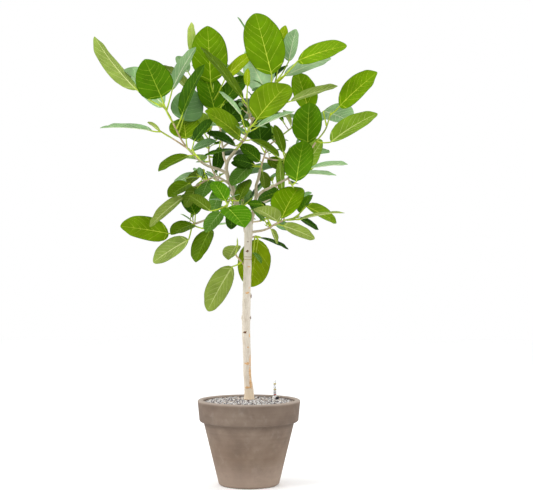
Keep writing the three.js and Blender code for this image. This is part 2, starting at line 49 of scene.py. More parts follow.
# Pot, as radii and heights of its turned profile
POT = SimpleNamespace(
    rim_radius=155, rim_height=256, rim_edge=5, rim_inner_radius=138, rim_foot=200,
    collar_radius=150, collar_height=190, collar_edge=8, shoulder_radius=137,
    foot_radius=93, foot_edge=10, floor_thickness=14, floor_inner_radius=78,
    corner_steps=8, wall_steps=90, collar_steps=30,
)

# Gravel: the bed under the grains, and the grains' sizes
GRAVEL = SimpleNamespace(
    height=250, flat_radius=112, edge_height=246, radius=137, margin=3, seed=7,
    grains=4500, smallest=1.7, largest=2.9, form=(1.25, 1.0, 0.78), dents=0.16, strewn=1.2, heaped=1.6,
)
# Kinds of grain as [running share of all grains, colour, roughness, spread of its tone]
GRAINS = {
    "white": [0.32, (216, 213, 210), 0.8, 0.08],
    "grey": [0.54, (150, 147, 148), 0.85, 0.12],
    "warm": [0.68, (178, 160, 146), 0.85, 0.12],
    "dark": [0.86, (84, 76, 78), 0.85, 0.18],
    "black": [1, (54, 48, 50), 0.8, 0.18],
}

# Water gauge that stands in the gravel, and the cap beside it
GAUGE = SimpleNamespace(
    x=79, y=80, foot=252.3, collar_radius=8, collar_height=6, tube_radius=5, tube_height=50,
    scale_radius=3.4, ring_radius=3.6, ring_half_height=1.8,
    cap_x=86, cap_y=32, cap_radius=5, cap_height=9,
)
# Rings on the gauge's scale as [share of the tube's height, finish]
GAUGE_RINGS = [[0.08, "float"], [0.4, "mark"], [0.74, "mark"]]

# Trunk as [x, y, height, radius], from its flat cut on the gravel to the fork
TRUNK = [
    [0, 35, 246, 19], [0, 34, 262, 15.5], [-1, 33, 290, 13.5], [-5, 30, 330, 12.2],
    [-7, 26, 400, 12], [-9, 21, 490, 12.6], [-7, 15, 570, 12.2], [-5, 10, 650, 12],
    [-3, 5, 720, 12], [-1, 0, 775, 12.5], [0, 0, 795, 10],
]

# Boughs as [x, y, height, radius], each from the side of its parent to the mass that it carries
BOUGHS = {
    "bough_leader": [
        [-6, 0, 785, 9], [-24, 0, 815, 8.2], [-36, 0, 845, 7.8], [-48, 0, 890, 7],
        [-63, 0, 926, 6.5], [-69, 0, 950, 6],
    ],
    "bough_left": [
        [-66, 0, 938, 4.5], [-82, -5, 948, 4.2], [-127, -20, 963, 4], [-148, -28, 977, 3.8],
        [-166, -36, 994, 3.6], [-182, -44, 1011, 3.5],
    ],
    "bough_upper": [
        [-70, 0, 951, 5], [-64, -4, 978, 5], [-45, -10, 1002, 4.8], [-27, -15, 1026, 4.6],
        [-12, -19, 1046, 4.4],
    ],
    "bough_middle": [
        [-67, -2, 966, 3.4], [-76, 2, 990, 3.3], [-79, 4, 1012, 3.2], [-84, 5, 1046, 3],
    ],
    "bough_front": [[-38, -13, 1010, 3], [-32, -28, 1020, 2.8], [-22, -48, 1029, 2.6]],
    "bough_side": [
        [-52, 0, 900, 3.4], [-75, -16, 918, 3.2], [-98, -28, 928, 3], [-116, -38, 922, 2.8],
    ],
    "bough_centre": [[-40, 0, 858, 3.2], [-42, -24, 864, 3], [-45, -47, 865, 2.8]],
    "bough_low_left": [
        [-36, 0, 846, 4], [-75, -20, 822, 3.8], [-130, -46, 797, 3.4], [-156, -58, 787, 3.2],
    ],
    "bough_inner": [
        [4, 2, 788, 6.5], [11, 4, 814, 6], [19, 7, 851, 5.6], [22, 10, 881, 5], [21, 12, 902, 4.6],
        [27, 13, 922, 4.2], [34, 15, 952, 3.8],
    ],
    "bough_right": [
        [22, 8, 868, 4], [40, 0, 885, 3.8], [60, -10, 894, 3.6], [88, -20, 908, 3.4],
        [117, -29, 923, 3.2],
    ],
    "bough_low_right": [[0, 2, 760, 4], [22, -4, 764, 3.6], [42, -12, 767, 3.2], [62, -19, 774, 3]],
    "bough_back_left": [
        [-44, 0, 876, 4], [-70, 40, 890, 3.8], [-92, 80, 908, 3.6], [-105, 115, 935, 3.2],
    ],
    "bough_back_right": [
        [15, 6, 836, 4.4], [35, 45, 850, 4.2], [62, 85, 868, 3.8], [80, 125, 895, 3.4],
    ],
    "bough_back_low": [
        [-2, 4, 742, 4.4], [-8, 45, 752, 4.2], [-14, 90, 768, 3.8], [-18, 130, 795, 3.4],
    ],
    "bough_back_high": [
        [-80, 4, 1018, 2.8], [-66, 40, 1034, 2.8], [-46, 85, 1052, 2.8], [-30, 120, 1078, 2.8],
    ],
}

# A mass is a list of twigs, which start at its bough's tip. Each is a path with its leaves' rows:
# [place along the twig from 0 to 1, turn, rise, reach, width, roll].
# Turn is degrees round from the front, rise is degrees up, and reach is from the twig to the tip.
# Width is a share of the blade's length, and roll turns the blade about its own length.
# A row may go on with the stalk's share of the reach, and a kink: how far the blade's foot stands
# to the left of the straight line from twig to tip, seen from the front.
# The rows began as numbers that a scratch script worked out from leaves traced by eye on the photo,
# in steps of 5 mm and 5 degrees, and many were then changed by hand.
MASSES = {
    "foliage_top": [
        ([[-12, -19, 1046], [10, -25, 1095], [40, -30, 1140], [70, -35, 1195], [90, -35, 1225]], [
            [0.8, 230, 75, 245, 0.6, -50, 0.18, -10], [0.95, 60, 20, 250, 0.42, 65, 0.35, 25],
            [0.55, 105, 15, 245, 0.3, -30, 0.35, -10],
        ]),
        ([[40, -30, 1140], [60, 30, 1175], [80, 75, 1225]], [
            [0.95, 65, 20, 200, 0.4, -20, 0.2, 10], [1, 90, 80, 180, 0.4, 60, 0.4, 0],
            [0.95, 60, 65, 180, 0.6, -10, 0.45, -15], [0.5, 240, 60, 170, 0.76, 85, 0.15, 0],
            [0.8, 235, 60, 270, 0.3, 25],
        ]),
        ([[10, -25, 1095], [0, -80, 1115], [-5, -100, 1155]], [
            [0.8, 250, 50, 235, 0.28, -15, 0.1, 0], [1, 5, 55, 100, 0.4, 140, 0.4, 0],
        ]),
    ],
    "foliage_middle": [
        ([[-84, 5, 1046], [-90, 10, 1090], [-105, 20, 1130], [-110, 30, 1180], [-110, 35, 1205]], [
            [0.9, 265, 85, 205, 0.64, -75, 0.15, 5], [0.4, 235, 70, 150, 0.66, -35, 0.15, 0],
            [0.5, 115, 50, 155, 0.6, 40, 0.25, 0], [0.2, 120, 45, 115, 0.8, 55],
            [0.75, 100, 50, 200, 0.36, 50, 0.35, 15], [0.05, 200, -65, 115, 0.5, 180, 0.3, 0],
        ]),
        ([[-90, 10, 1090], [-130, 80, 1155], [-165, 110, 1230]], [
            [0.95, 350, 65, 200, 0.34, 55, 0.45, 0], [0.95, 310, 45, 115, 0.6, 30, 0.45, 0],
            [0.65, 310, 30, 185, 0.36, 5, 0.3, 10],
        ]),
    ],
    "foliage_left": [
        ([[-182, -44, 1011], [-200, -50, 1035], [-225, -60, 1085], [-240, -65, 1115], [-260, -70, 1140]], [
            [0.7, 330, 50, 205, 0.8, -145, 0.35, 0], [0.6, 250, 45, 230, 0.54, 60, 0.25, -15],
            [0.95, 255, 45, 310, 0.32, 150, 0.3, 20], [0.85, 60, 60, 210, 0.36, -10, 0.3, 10],
            [0.45, 115, 65, 220, 0.34, 20, 0.2, 0], [0.35, 150, 60, 165, 0.86, -140, 0.3, 0],
        ]),
        ([[-182, -44, 1011], [-220, -70, 1035], [-270, -85, 1065]], [
            [0.9, 300, 0, 195, 0.3, 10, 0.15, 0], [0.65, 240, 30, 90, 0.4, 45, 0.4, 0],
        ]),
        ([[-182, -44, 1011], [-182, -110, 1008], [-160, -135, 990], [-145, -150, 975]], [
            [0.3, 190, 45, 140, 0.96, -10, 0.3, 0], [0.7, 115, 55, 120, 0.46, 35, 0.25, 10],
            [0.85, 295, -25, 125, 0.5, -25, 0.15, -5], [1, 150, 30, 110, 0.36, -50, 0.1, 30],
        ]),
    ],
    "foliage_low_left": [
        ([[-156, -58, 787], [-185, -65, 780], [-205, -70, 775]], [
            [0.95, 300, 0, 195, 0.52, -65, 0.2, 20], [0.1, 315, -20, 100, 0.62, -25, 0.05, 0],
            [0.25, 305, -40, 175, 0.46, 75, 0.25, 25], [0.3, 15, -60, 130, 0.58, -5, 0.2, 55],
            [0.1, 220, 60, 105, 0.8, -20, 0.25, -10],
        ]),
    ],
    "foliage_side": [
        ([[-116, -38, 922], [-145, -60, 905], [-160, -70, 895], [-180, -80, 890]], [
            [1, 310, -40, 180, 0.3, 65, 0.15, 10], [0.8, 310, -20, 95, 0.6, -30, 0.05, -15],
            [0.45, 320, -45, 100, 0.62, 90, 0.2, 0], [0.05, 340, -45, 90, 0.7, 0, 0.05, 0],
            [0.15, 245, -5, 115, 0.4, 30, 0.3, -25], [0.15, 235, -10, 75, 0.6, 5, 0.05, -35],
            [0.05, 225, 20, 50, 0.5, 60, 0.05, 0],
        ]),
    ],
    "foliage_centre": [
        ([[-45, -47, 865], [-60, -100, 850], [-60, -140, 840]], [
            [0.8, 35, -40, 115, 0.86, 15, 0.1, -10], [1, 220, 45, 100, 0.62, -20, 0.15, 0],
            [0.45, 315, -45, 135, 0.56, -30, 0.35, 0], [1, 305, 10, 135, 0.45, 35, 0.4, 30],
            [0.15, 225, -25, 95, 0.62, -110, 0.2, -40], [0.3, 135, 40, 100, 0.62, -5, 0.15, -20],
            [0.15, 190, -75, 95, 0.6, 180, 0.3, 0],
        ]),
    ],
    "foliage_front": [
        ([[-22, -48, 1029], [-10, -90, 1035], [0, -150, 1060]], [
            [0.3, 315, 25, 175, 0.45, -75, 0.1, 0], [0.05, 300, 10, 120, 0.48, -45, 0.15, 15],
            [0.05, 300, -20, 135, 0.3, -20, 0.2, 15], [0.75, 250, 55, 155, 0.3, 35, 0.35, -15],
            [0.3, 65, -25, 125, 0.4, 20, 0.15, 10], [1, 120, 45, 195, 0.76, 35, 0.2, 0],
            [0.85, 70, 20, 155, 0.3, -10, 0.2, 0],
        ]),
    ],
    "foliage_inner": [
        ([[34, 15, 952], [45, 20, 990], [55, 30, 1020], [95, 45, 1055], [165, 60, 1110]], [
            [0.25, 270, 80, 125, 0.66, -70, 0.2, 10], [1, 205, 75, 155, 0.6, -30, 0.15, -20],
            [0.8, 215, 50, 75, 0.4, 75, 0.1, 0], [0.05, 305, 10, 105, 0.6, -75, 0.3, 0],
            [0.05, 165, -55, 85, 0.6, 15], [0.05, 305, -30, 125, 0.62, -25, 0.25, -20],
            [0.1, 290, 35, 90, 0.6, -70, 0.1, 0], [0.6, 275, 0, 105, 0.45, -70, 0.2, 0],
            [0.05, 285, 5, 95, 0.45, -75, 0.2, 0],
        ]),
        ([[45, 20, 990], [80, 0, 980], [110, -20, 980]], [
            [1, 220, 65, 120, 0.34, -20, 0.2, 0], [0.1, 85, -35, 60, 0.75, 60, 0.1, 0],
            [0.95, 200, -75, 65, 0.5, -20, 0.15, 0],
        ]),
    ],
    "foliage_right": [
        ([[117, -29, 923], [165, -35, 980], [200, -35, 1030], [230, -30, 1070], [245, -25, 1115]], [
            [1, 55, 35, 200, 0.54, 75, 0.2, 0], [0.85, 130, 10, 105, 0.85, -25, 0, 45],
            [0.6, 60, 20, 215, 0.44, -25, 0.2, -20], [0.4, 170, 75, 165, 0.72, -10],
            [0.15, 130, 40, 145, 0.66, -85, 0.2, -20], [0.25, 110, 0, 155, 0.34, -20, 0.2, -15],
        ]),
        ([[117, -29, 923], [125, -90, 905], [130, -110, 895]], [
            [0.9, 145, 65, 150, 0.67, 5, 0.1, -10], [0.25, 150, -10, 55, 0.5, 25, 0.15, -10],
        ]),
    ],
    "foliage_low_right": [
        ([[62, -19, 774], [80, -70, 785], [105, -75, 795], [145, -45, 805]], [
            [0.45, 135, 50, 145, 0.84, 15, 0.15, -5], [1, 140, 45, 100, 0.56, 0],
            [0.9, 115, -5, 145, 0.46, 55, 0.25, 40], [0.85, 65, 5, 170, 0.26, -10, 0.15, -5],
            [0.7, 115, -15, 110, 0.45, 50, 0.35, 15], [0.45, 60, -20, 135, 0.4, -60, 0.15, 0],
            [0.5, 320, 20, 115, 0.6, 15, 0.05, 0], [0.05, 25, -45, 70, 0.4, -95, 0.1, 0],
            [0.1, 315, 35, 110, 0.4, -75, 0.3, 0], [0.1, 325, 55, 90, 0.6, -135, 0.6, 0],
            [0.15, 310, 35, 115, 0.5, -60, 0.65, -30], [0.3, 60, -10, 60, 0.6, -60, 0.1, 0],
        ]),
        ([[105, -75, 795], [105, -30, 820], [105, 10, 850]], [
            [1, 345, 70, 135, 0.32, 50, 0.25, 0], [0.9, 230, 10, 105, 0.6, -55, 0.25, -35],
        ]),
    ],
    "foliage_trunk_left": [
        ([[-8, 10, 655], [-30, 5, 680], [-40, 0, 695], [-35, 0, 715], [-35, 0, 730]], [
            [0.25, 305, -50, 190, 0.48, 95, 0.15, -15], [0.95, 210, -40, 75, 0.85, 0, 0.1, 0],
        ]),
    ],
    "foliage_trunk_back": [
        ([[2, 5, 744], [20, 20, 750], [27, 27, 749]], [
            [0.65, 195, -70, 165, 0.64, -150, 0.05, 10], [0.6, 20, -55, 100, 0.5, 0, 0.55, -15],
            [0.75, 60, -20, 120, 0.3, 10, 0.1, 0],
        ]),
    ],
    "foliage_back_left": [
        ([[-105, 115, 935], [-125, 155, 985], [-130, 195, 1050], [-120, 225, 1120]], []),
        ([[-105, 115, 935], [-95, 165, 925], [-75, 215, 930]], []),
    ],
    "foliage_back_right": [
        ([[80, 125, 895], [95, 165, 950], [110, 200, 995], [125, 225, 1030]], []),
        ([[80, 125, 895], [90, 170, 905], [90, 215, 925]], []),
    ],
    "foliage_back_low": [
        ([[-18, 130, 795], [-22, 175, 830], [-20, 215, 880]], []),
        ([[-18, 130, 795], [30, 175, 800], [75, 200, 815]], []),
    ],
    "foliage_back_high": [
        ([[-30, 120, 1078], [0, 165, 1130], [20, 190, 1190], [25, 195, 1235]], []),
        ([[-30, 120, 1078], [-60, 170, 1120], [-85, 190, 1190]], []),
    ],
}

# Seeded leaves on each twig of the masses that have no rows
SEEDED = {
    "foliage_back_left": 10, "foliage_back_right": 11, "foliage_back_low": 9,
    "foliage_back_high": 13,
}

# Tone of each leaf, in the order of the rows. The under tones are those of leaves whose underside shows
# The tones are partly the leaves' own colour and partly painted light and shade: leaves inside the crown
# take darker tones such as deep, dusk and slate as painted shade, and some leaves in shade take the lighter
# frost tone as painted light
TONES = {
    "foliage_top": "bright fresh light frost yellow pale frost mid moss yellow",
    "foliage_middle": "bright mid dark deep yellow deep lemon pale olive",
    "foliage_left": "mid pale light pale dark slate pale olive leaf deep moss slate",
    "foliage_low_left": "leaf moss light moss dark",
    "foliage_side": "olive moss dusk blue pale dusk dusk",
    "foliage_centre": "shiny shiny blue dusk blue moss deep",
    "foliage_front": "leaf deep dark pale moss leaf pale",
    "foliage_inner": "deep fresh olive deep dusk blue dark deep deep moss moss dusk",
    "foliage_right": "fresh pale lime mid lime pale mid dark",
    "foliage_low_right": "fresh mid leaf light deep olive olive olive blue deep dark dark lime dark",
    "foliage_trunk_left": "olive olive",
    "foliage_trunk_back": "golden blue deep",
}
SEEDED_TONES = ("mid", "bright", "dark", "leaf", "mid", "fresh", "deep")
SPRIG_TONES = ("leaf", "mid", "dark", "moss", "bright")
UNDER_TONES = ("pale", "frost", "olive", "light", "lemon", "lime", "slate", "dusk")
PALE_BACKED_TONES = ("bright", "fresh", "yellow")

# Base colours of each tone's blade and veins, as red, green and blue from 0 to 255
# Deep, dusk and slate are darker copies of the leaf colours that stand for painted shade, and frost is a
# lighter copy that stands for painted light
TONE_COLOURS = {
    "bright": [(96, 134, 3), (192, 210, 66)],
    "fresh": [(106, 144, 2), (202, 214, 66)],
    "leaf": [(102, 134, 6), (188, 202, 64)],
    "mid": [(78, 122, 3), (166, 194, 54)],
    "dark": [(56, 96, 2), (136, 168, 44)],
    "deep": [(40, 74, 2), (100, 142, 42)],
    "blue": [(84, 124, 40), (150, 178, 104)],
    "shiny": [(78, 130, 8), (174, 206, 70)],
    "yellow": [(132, 158, 2), (208, 216, 90)],
    "golden": [(114, 138, 3), (172, 188, 66)],
    "moss": [(78, 106, 5), (134, 160, 56)],
    "pale": [(142, 178, 124), (212, 224, 184)],
    "frost": [(170, 202, 154), (212, 224, 182)],
    "olive": [(128, 147, 62), (184, 196, 122)],
    "light": [(141, 163, 74), (204, 214, 138)],
    "lemon": [(196, 216, 104), (222, 232, 150)],
    "lime": [(118, 151, 36), (192, 208, 116)],
    "slate": [(112, 150, 94), (152, 184, 132)],
    "dusk": [(86, 110, 22), (134, 156, 66)],
}

# Marks on the trunk as [height, turn, half width, half height, lift, kind]
TRUNK_MARKS = [
    [734, -3, 1.8, 1.6, 0, "scar"], [705, -6, 4.2, 2.6, 0.5, "scar"], [658, 25, 4.0, 2.6, 0, "rust"],
    [594, 38, 2.0, 1.8, 0, "rust"], [579, 8, 5.5, 2.8, 0, "rust"], [569, 82, 4.0, 6.0, 3.2, "scar"],
    [502, -88, 4.0, 5.0, 2.8, "plain"], [502, 76, 3.6, 5.0, 2.4, "scar"],
    [459, -20, 5.0, 3.0, 1.0, "scar"], [448, 55, 2.2, 6.0, 0, "rust"], [413, 22, 2.6, 2.2, 0, "rust"],
    [364, -4, 9.0, 3.4, 0.3, "rust"], [372, 56, 3.0, 16, 0, "rust"], [334, 44, 3.6, 20, 0, "rust"],
    [302, 32, 3.6, 14, 0, "rust"], [291, -12, 9.0, 3.0, 0.3, "rust"],
    [640, 160, 3.0, 4.5, 1.6, "scar"], [540, 205, 3.6, 3.0, 0.8, "scar"],
    [430, 175, 3.0, 5.0, 1.8, "rust"], [350, 220, 4.0, 5.0, 0.4, "rust"],
]
# Rings round the trunk as [height, half height, lift], of which the first two are coloured too
TRUNK_RINGS = [
    [688, 0.7, 0.3], [680, 0.9, -0.3], [618, 0.8, 0.3],
    [541, 0.8, 0.25], [470, 0.8, 0.25], [392, 0.8, 0.25],
]
COLOURED_RINGS = 2
MARK_RADIUS = 12
TRUNK_SIDES = 48
# Boughs with a foot of more than this radius have the first number of sides, the others the second
THICK_FOOT = 6
BOUGH_SIDES = (24, 16)
ROOT_TOP = 300
ROOT_HEIGHT = 48
# Ring scars on the bark, as their spacing and the place of the first
BARK_SCARS = (43, 20)
TWIG_SCARS = (17, 8)

# Leaf form. Ribs and waves grow with the blade, and are as given on one of the usual length
USUAL_BLADE = 150
STALK_SHARE = 0.2
WIDEST_AT = 0.43
VEIN_PLACES = 7
VEIN_SLANT = 0.6
FIRST_VEIN = 0.035
LAST_VEIN = 0.86
ROWS_PER_VEIN = 4
HALF_COLUMNS = 8
BLADE_HALF_THICKNESS = 0.3
QUILT_DEPTH = 1.3
MARGIN_WAVE = 0.011
MIDRIB_HALF_WIDTH = 2.4
VEIN_HALF_WIDTH = 0.75
STALK_RADIUS = 2.3
TWIG_RADIUS = 2.9
TWIG_TIP_RADIUS = 2.1
TWIG_SIDES = 10
STALK_SIDES = 8
BUD_SIDES = 8
YOUNG_FROM = 0.55
BUD_LENGTH = 7.5

# Seeded leaves, with how far their turn, rise, reach, width and roll may drift
GOLDEN_ANGLE = 137.5
SEEDED_TURN = 240
SEEDED_REACH = 170
SEEDED_WIDTH = 0.54
SEEDED_DRIFT = (20, 20, 35, 0.08, 20)
LEAF_GAP = 17
LIMB_GAP = 14
# Rows and columns of the points that stand for a blade where leaves keep clear of each other
COARSE = (7, 5)
FINE = (13, 9)
# Each limb and twig is divided into this many steps, and leaves keep clear of the points between them
LIMB_STEPS = 12

# Finer side shoots behind the twigs of the crown, with their own small leaves
SPRIGS = 3
SPRIG_LENGTH = 26
SPRIG_LIFT = 6
SPRIG_SAG = 3
SPRIG_RADIUS = 1.5
SPRIG_LEAVES = 3
SPRIG_TURN = 60
SPRIG_RISE = 15
SPRIG_REACH = 46
SPRIG_WIDTH = 0.5
SPRIG_DRIFT = (20, 35, 12, 0.1, 30)
SPRIG_LEAF_GAP = 8
SPRIG_LIMB_GAP = 6
BARE_MASSES = ("foliage_trunk_left", "foliage_trunk_back", "foliage_left", "foliage_right")

UP = np.array([0.0, 0.0, 1.0])
FRONT = np.array([0.0, -1.0, 0.0])


# Numbers that repeat on each run

def noise(seed):
    """A repeatable number from 0 to 1 for any seed"""
    wave = math.sin(seed * 12.9898) * 43758.5453
    return wave - math.floor(wave)


def jitter(seed):
    return 2 * noise(seed) - 1


def unit(vector):
    return vector / np.linalg.norm(vector)


def distances(points):
    """How far along a chain each of its points lies"""
    return np.concatenate([[0], np.cumsum(np.linalg.norm(np.diff(points, axis=0), axis=1))])


# The plant's rule

def point_along(points, share):
    """A point a share of the way along a chain of points"""
    points = np.array(points, float)
    lengths = np.linalg.norm(np.diff(points, axis=0), axis=1)
    wanted = share * lengths.sum()
    step = 0
    while step < len(lengths) - 1 and wanted > lengths[step]:
        wanted -= lengths[step]
        step += 1
    return points[step] + (points[step + 1] - points[step]) * min(1, wanted / lengths[step])


def heading(turn, rise):
    """A direction from degrees round from the front and degrees up"""
    turn, rise = math.radians(turn), math.radians(rise)
    level = math.cos(rise)
    return np.array([math.sin(turn) * level, -math.cos(turn) * level, math.sin(rise)])


def leaf_shape(node, row, seed, tone):
    """A leaf as numbers: its twig point, the foot of its blade, axes, sizes, bends and tone"""
    _, turn, rise, reach, width, roll = row[:6]
    stalk, kink = row[6:] or (STALK_SHARE, 0)
    node = np.array(node, float)
    straight = heading(turn, rise)
    foot = node + straight * reach * stalk + unit(np.cross(FRONT, straight)) * kink
    along = node + straight * reach - foot
    blade = np.linalg.norm(along)
    along = along / blade
    square = np.cross(unit(np.cross(along, UP)), along)
    roll = math.radians(roll)
    out = square * math.cos(roll) + np.cross(along, square) * math.sin(roll)
    return SimpleNamespace(
        node=node, foot=foot, along=along, out=out, across=np.cross(out, along), seed=seed, tone=tone,
        blade=blade, half_width=blade * width / 2,
        arch=0.02 + 0.03 * noise(seed), fold=0.12 + 0.25 * noise(seed + 0.5),
    )


def outline(share):
    """Share of the half width at a share of the blade's length"""
    span = np.where(share < WIDEST_AT, WIDEST_AT, 1 - WIDEST_AT)
    away = np.minimum(1, np.abs(share - WIDEST_AT) / span)
    return (1 - away ** 2.3) ** 0.62


def blade_points(leaf, along, across, height):
    """Points of the blade, by their shares along and across and their height over its middle surface"""
    along, across, height = np.broadcast_arrays(along, across, height)
    tip = np.clip((along - 0.8) / 0.2, 0, 1)
    half = leaf.half_width * outline(along) * across * (1 - 0.35 * noise(leaf.seed + 0.7) * tip ** 2)
    lift = leaf.arch * leaf.blade * 4 * along * (1 - along) + leaf.fold * np.abs(half) + height
    return (leaf.foot + (leaf.blade * along)[..., None] * leaf.along + half[..., None] * leaf.across
            + lift[..., None] * leaf.out)


def blade_samples(leaf, rows, columns):
    """Points all over a blade, to keep leaves clear of each other"""
    along, across = np.meshgrid(np.linspace(0, 1, rows), np.linspace(-1, 1, columns), indexing="ij")
    return blade_points(leaf, along, across, 0.0).reshape(-1, 3)


def limb_samples():
    """Points along every limb and twig"""
    chains = [TRUNK, *BOUGHS.values()] + [path for twigs in MASSES.values() for path, _ in twigs]
    shares = np.arange(LIMB_STEPS + 1) / LIMB_STEPS
    return np.array([point_along([row[:3] for row in chain], share) for chain in chains for share in shares])


def nearest(samples, others):
    return np.linalg.norm(samples[:, None, :] - others[None, :, :], axis=2).min()


class Room:
    """What limbs and leaves take up, and the gaps that a new leaf keeps from them"""

    def __init__(self, grown, detail, leaf_gap, limb_gap):
        leaves = [leaf for mass in grown.values() for leaf in mass]
        self.taken = np.vstack([blade_samples(leaf, *detail) for leaf in leaves])
        self.limbs = limb_samples()
        self.leaf_gap = leaf_gap
        self.limb_gap = limb_gap

    def admits(self, leaf):
        """Whether there is room for a leaf, which then takes its place"""
        samples = blade_samples(leaf, *COARSE)
        if nearest(samples, self.taken) <= self.leaf_gap or nearest(samples, self.limbs) <= self.limb_gap:
            return False
        self.taken = np.vstack([self.taken, samples])
        return True


def drifting_row(key, means, drift):
    """A leaf's row whose numbers drift from their means"""
    steps = (0.1, 0.2, 0.3, 0.4, 0.6)
    return [0] + [mean + most * jitter(key + step) for mean, most, step in zip(means, drift, steps)]


def leaves_from_rows(name, seed):
    """The leaves that a mass's rows give"""
    tones = iter(TONES[name].split())
    leaves = []
    for t, (path, rows) in enumerate(MASSES[name]):
        for i, row in enumerate(rows):
            leaves.append(leaf_shape(point_along(path, row[0]), row, seed + 10 * t + i, next(tones)))
    return leaves


def seeded_leaves(name, seed, room):
    """Seeded leaves over the half that faces away from the front, where there is room for them"""
    leaves = []
    for t, (path, _) in enumerate(MASSES[name]):
        for i in range(SEEDED[name]):
            key = seed + 20 * t + i
            at = 0.25 + 0.75 * (i + 1) / SEEDED[name]
            turned_round = (GOLDEN_ANGLE * i + SEEDED_TURN + 90 * t) % 360
            means = 90 + turned_round / 2, -15 + 60 * at, SEEDED_REACH, SEEDED_WIDTH, 0
            row = drifting_row(key, means, SEEDED_DRIFT)
            leaf = leaf_shape(point_along(path, at), row, key, SEEDED_TONES[key % len(SEEDED_TONES)])
            if room.admits(leaf):
                leaves.append(leaf)
    return leaves


def grow_leaves():
    """Every mass's leaves by name: those of the rows first, then the seeded ones in the room left"""
    seeds = {name: 100 * (i + 1) for i, name in enumerate(MASSES)}
    grown = {name: leaves_from_rows(name, seeds[name]) for name in TONES}
    room = Room(grown, COARSE, LEAF_GAP, LIMB_GAP)
    for name in SEEDED:
        grown[name] = seeded_leaves(name, seeds[name], room)
    return grown


def grow_sprigs(grown):
    """Finer shoots on the twigs, with small leaves where there is room for them"""
    room = Room(grown, FINE, SPRIG_LEAF_GAP, SPRIG_LIMB_GAP)
    sprigs = {}
    for m, (name, twigs) in enumerate(MASSES.items()):
        shoots = 0 if name in BARE_MASSES else SPRIGS
        made = [
            sprig_at(path, s, 5000 + 100 * m + 10 * t + s, room)
            for t, (path, _) in enumerate(twigs) for s in range(shoots)
        ]
        sprigs[name] = [sprig for sprig in made if sprig.leaves]
    return sprigs


def sprig_at(path, s, key, room):
    """One side shoot with up to three small leaves"""
    start = point_along(path, 0.25 + 0.28 * s + 0.1 * jitter(key))
    turn = 180 + 85 * jitter(key + 0.1)
    rise = 20 + 30 * jitter(key + 0.2)
    tip = start + heading(turn, rise) * SPRIG_LENGTH * (0.8 + 0.4 * noise(key + 0.3)) + UP * SPRIG_LIFT
    points = np.array([start, (start + tip) / 2 - UP * SPRIG_SAG, tip])
    leaves = []
    for i in range(SPRIG_LEAVES):
        leaf_key = key + 1000 * (i + 1)
        means = turn + (i - 1) * SPRIG_TURN, SPRIG_RISE, SPRIG_REACH, SPRIG_WIDTH, 0
        row = drifting_row(leaf_key, means, SPRIG_DRIFT)
        tone = SPRIG_TONES[leaf_key % len(SPRIG_TONES)]
        leaf = leaf_shape(point_along(points, 1 - 0.3 * i), row, leaf_key, tone)
        if room.admits(leaf):
            leaves.append(leaf)
    return SimpleNamespace(points=points, leaves=leaves)


# Meshes

class Shape:
    """Points in millimetres, with faces that each name a material"""

    def __init__(self):
        self.points = []
        self.faces = []
        self.slots = []
        self.materials = []
        self.count = 0

    def add(self, points, faces, material):
        """Adds faces in one material, or in one for each face"""
        points = np.asarray(points, float).reshape(-1, 3)
        self.points.append(points)
        self.faces += [tuple(i + self.count for i in face) for face in faces]
        if isinstance(material, list):
            self.slots += [self.slot_of(one) for one in material]
        else:
            self.slots += [self.slot_of(material)] * len(faces)
        self.count += len(points)

    def slot_of(self, material):
        if material not in self.materials:
            self.materials.append(material)
        return self.materials.index(material)

    def make(self, name, slot, replaces=(), smooth=True):
        """The piece, riding on the plant's one body"""
        mesh = bpy.data.meshes.new(name)
        mesh.from_pydata(np.vstack(self.points) * MM, [], self.faces)
        for material in self.materials:
            mesh.materials.append(material)
        mesh.polygons.foreach_set("material_index", self.slots)
        mesh.polygons.foreach_set("use_smooth", [smooth] * len(self.faces))
        mesh.update()
        piece = add_object(name, mesh)
        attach(piece, "root")
        if replaces:
            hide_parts(*replaces)


def add_object(name, data, place=(0, 0, 0), aim=None):
    """An object in the scene, turned to look at a point where one is given"""
    added = bpy.data.objects.new(name, data)
    added.location = place
    if aim:
        added.rotation_euler = (aim - added.location).to_track_quat("-Z", "Y").to_euler()
    bpy.context.scene.collection.objects.link(added)
    return added


def smooth_chain(rows, per_step):
    """A smooth curve through rows of numbers, as a centripetal Catmull-Rom spline"""
    rows = np.array(rows, float)
    padded = np.vstack([2 * rows[0] - rows[1], rows, 2 * rows[-1] - rows[-2]])
    made = []
    for before, start, end, after in zip(padded, padded[1:], padded[2:], padded[3:]):
        gaps = [max(1e-6, np.linalg.norm((b - a)[:3]) ** 0.5)
                for a, b in ((before, start), (start, end), (end, after))]
        first = ((start - before) / gaps[0] - (end - before) / (gaps[0] + gaps[1])
                 + (end - start) / gaps[1]) * gaps[1]
        second = ((end - start) / gaps[1] - (after - start) / (gaps[1] + gaps[2])
                  + (after - end) / gaps[2]) * gaps[1]
        steps = max(2, round(np.linalg.norm((end - start)[:3]) / per_step))
        for t in np.arange(steps) / steps:
            made.append((2 * t ** 3 - 3 * t ** 2 + 1) * start + (t ** 3 - 2 * t ** 2 + t) * first
                        + (3 * t ** 2 - 2 * t ** 3) * end + (t ** 3 - t ** 2) * second)
    return np.array([*made, rows[-1]])


def carried_normals(points):
    """Pairs of normals along a chain, which start at the front and don't twist"""
    tangents = np.gradient(points, axis=0)
    tangents /= np.linalg.norm(tangents, axis=1)[:, None]
    guide = FRONT if abs(tangents[0] @ FRONT) < 0.9 else UP
    normals = []
    for tangent in tangents:
        guide = unit(guide - tangent * (guide @ tangent))
        normals.append(guide)
    normals = np.array(normals)
    return normals, np.cross(tangents, normals)


def ring_angles(sides):
    return np.arange(sides) / sides * 2 * math.pi


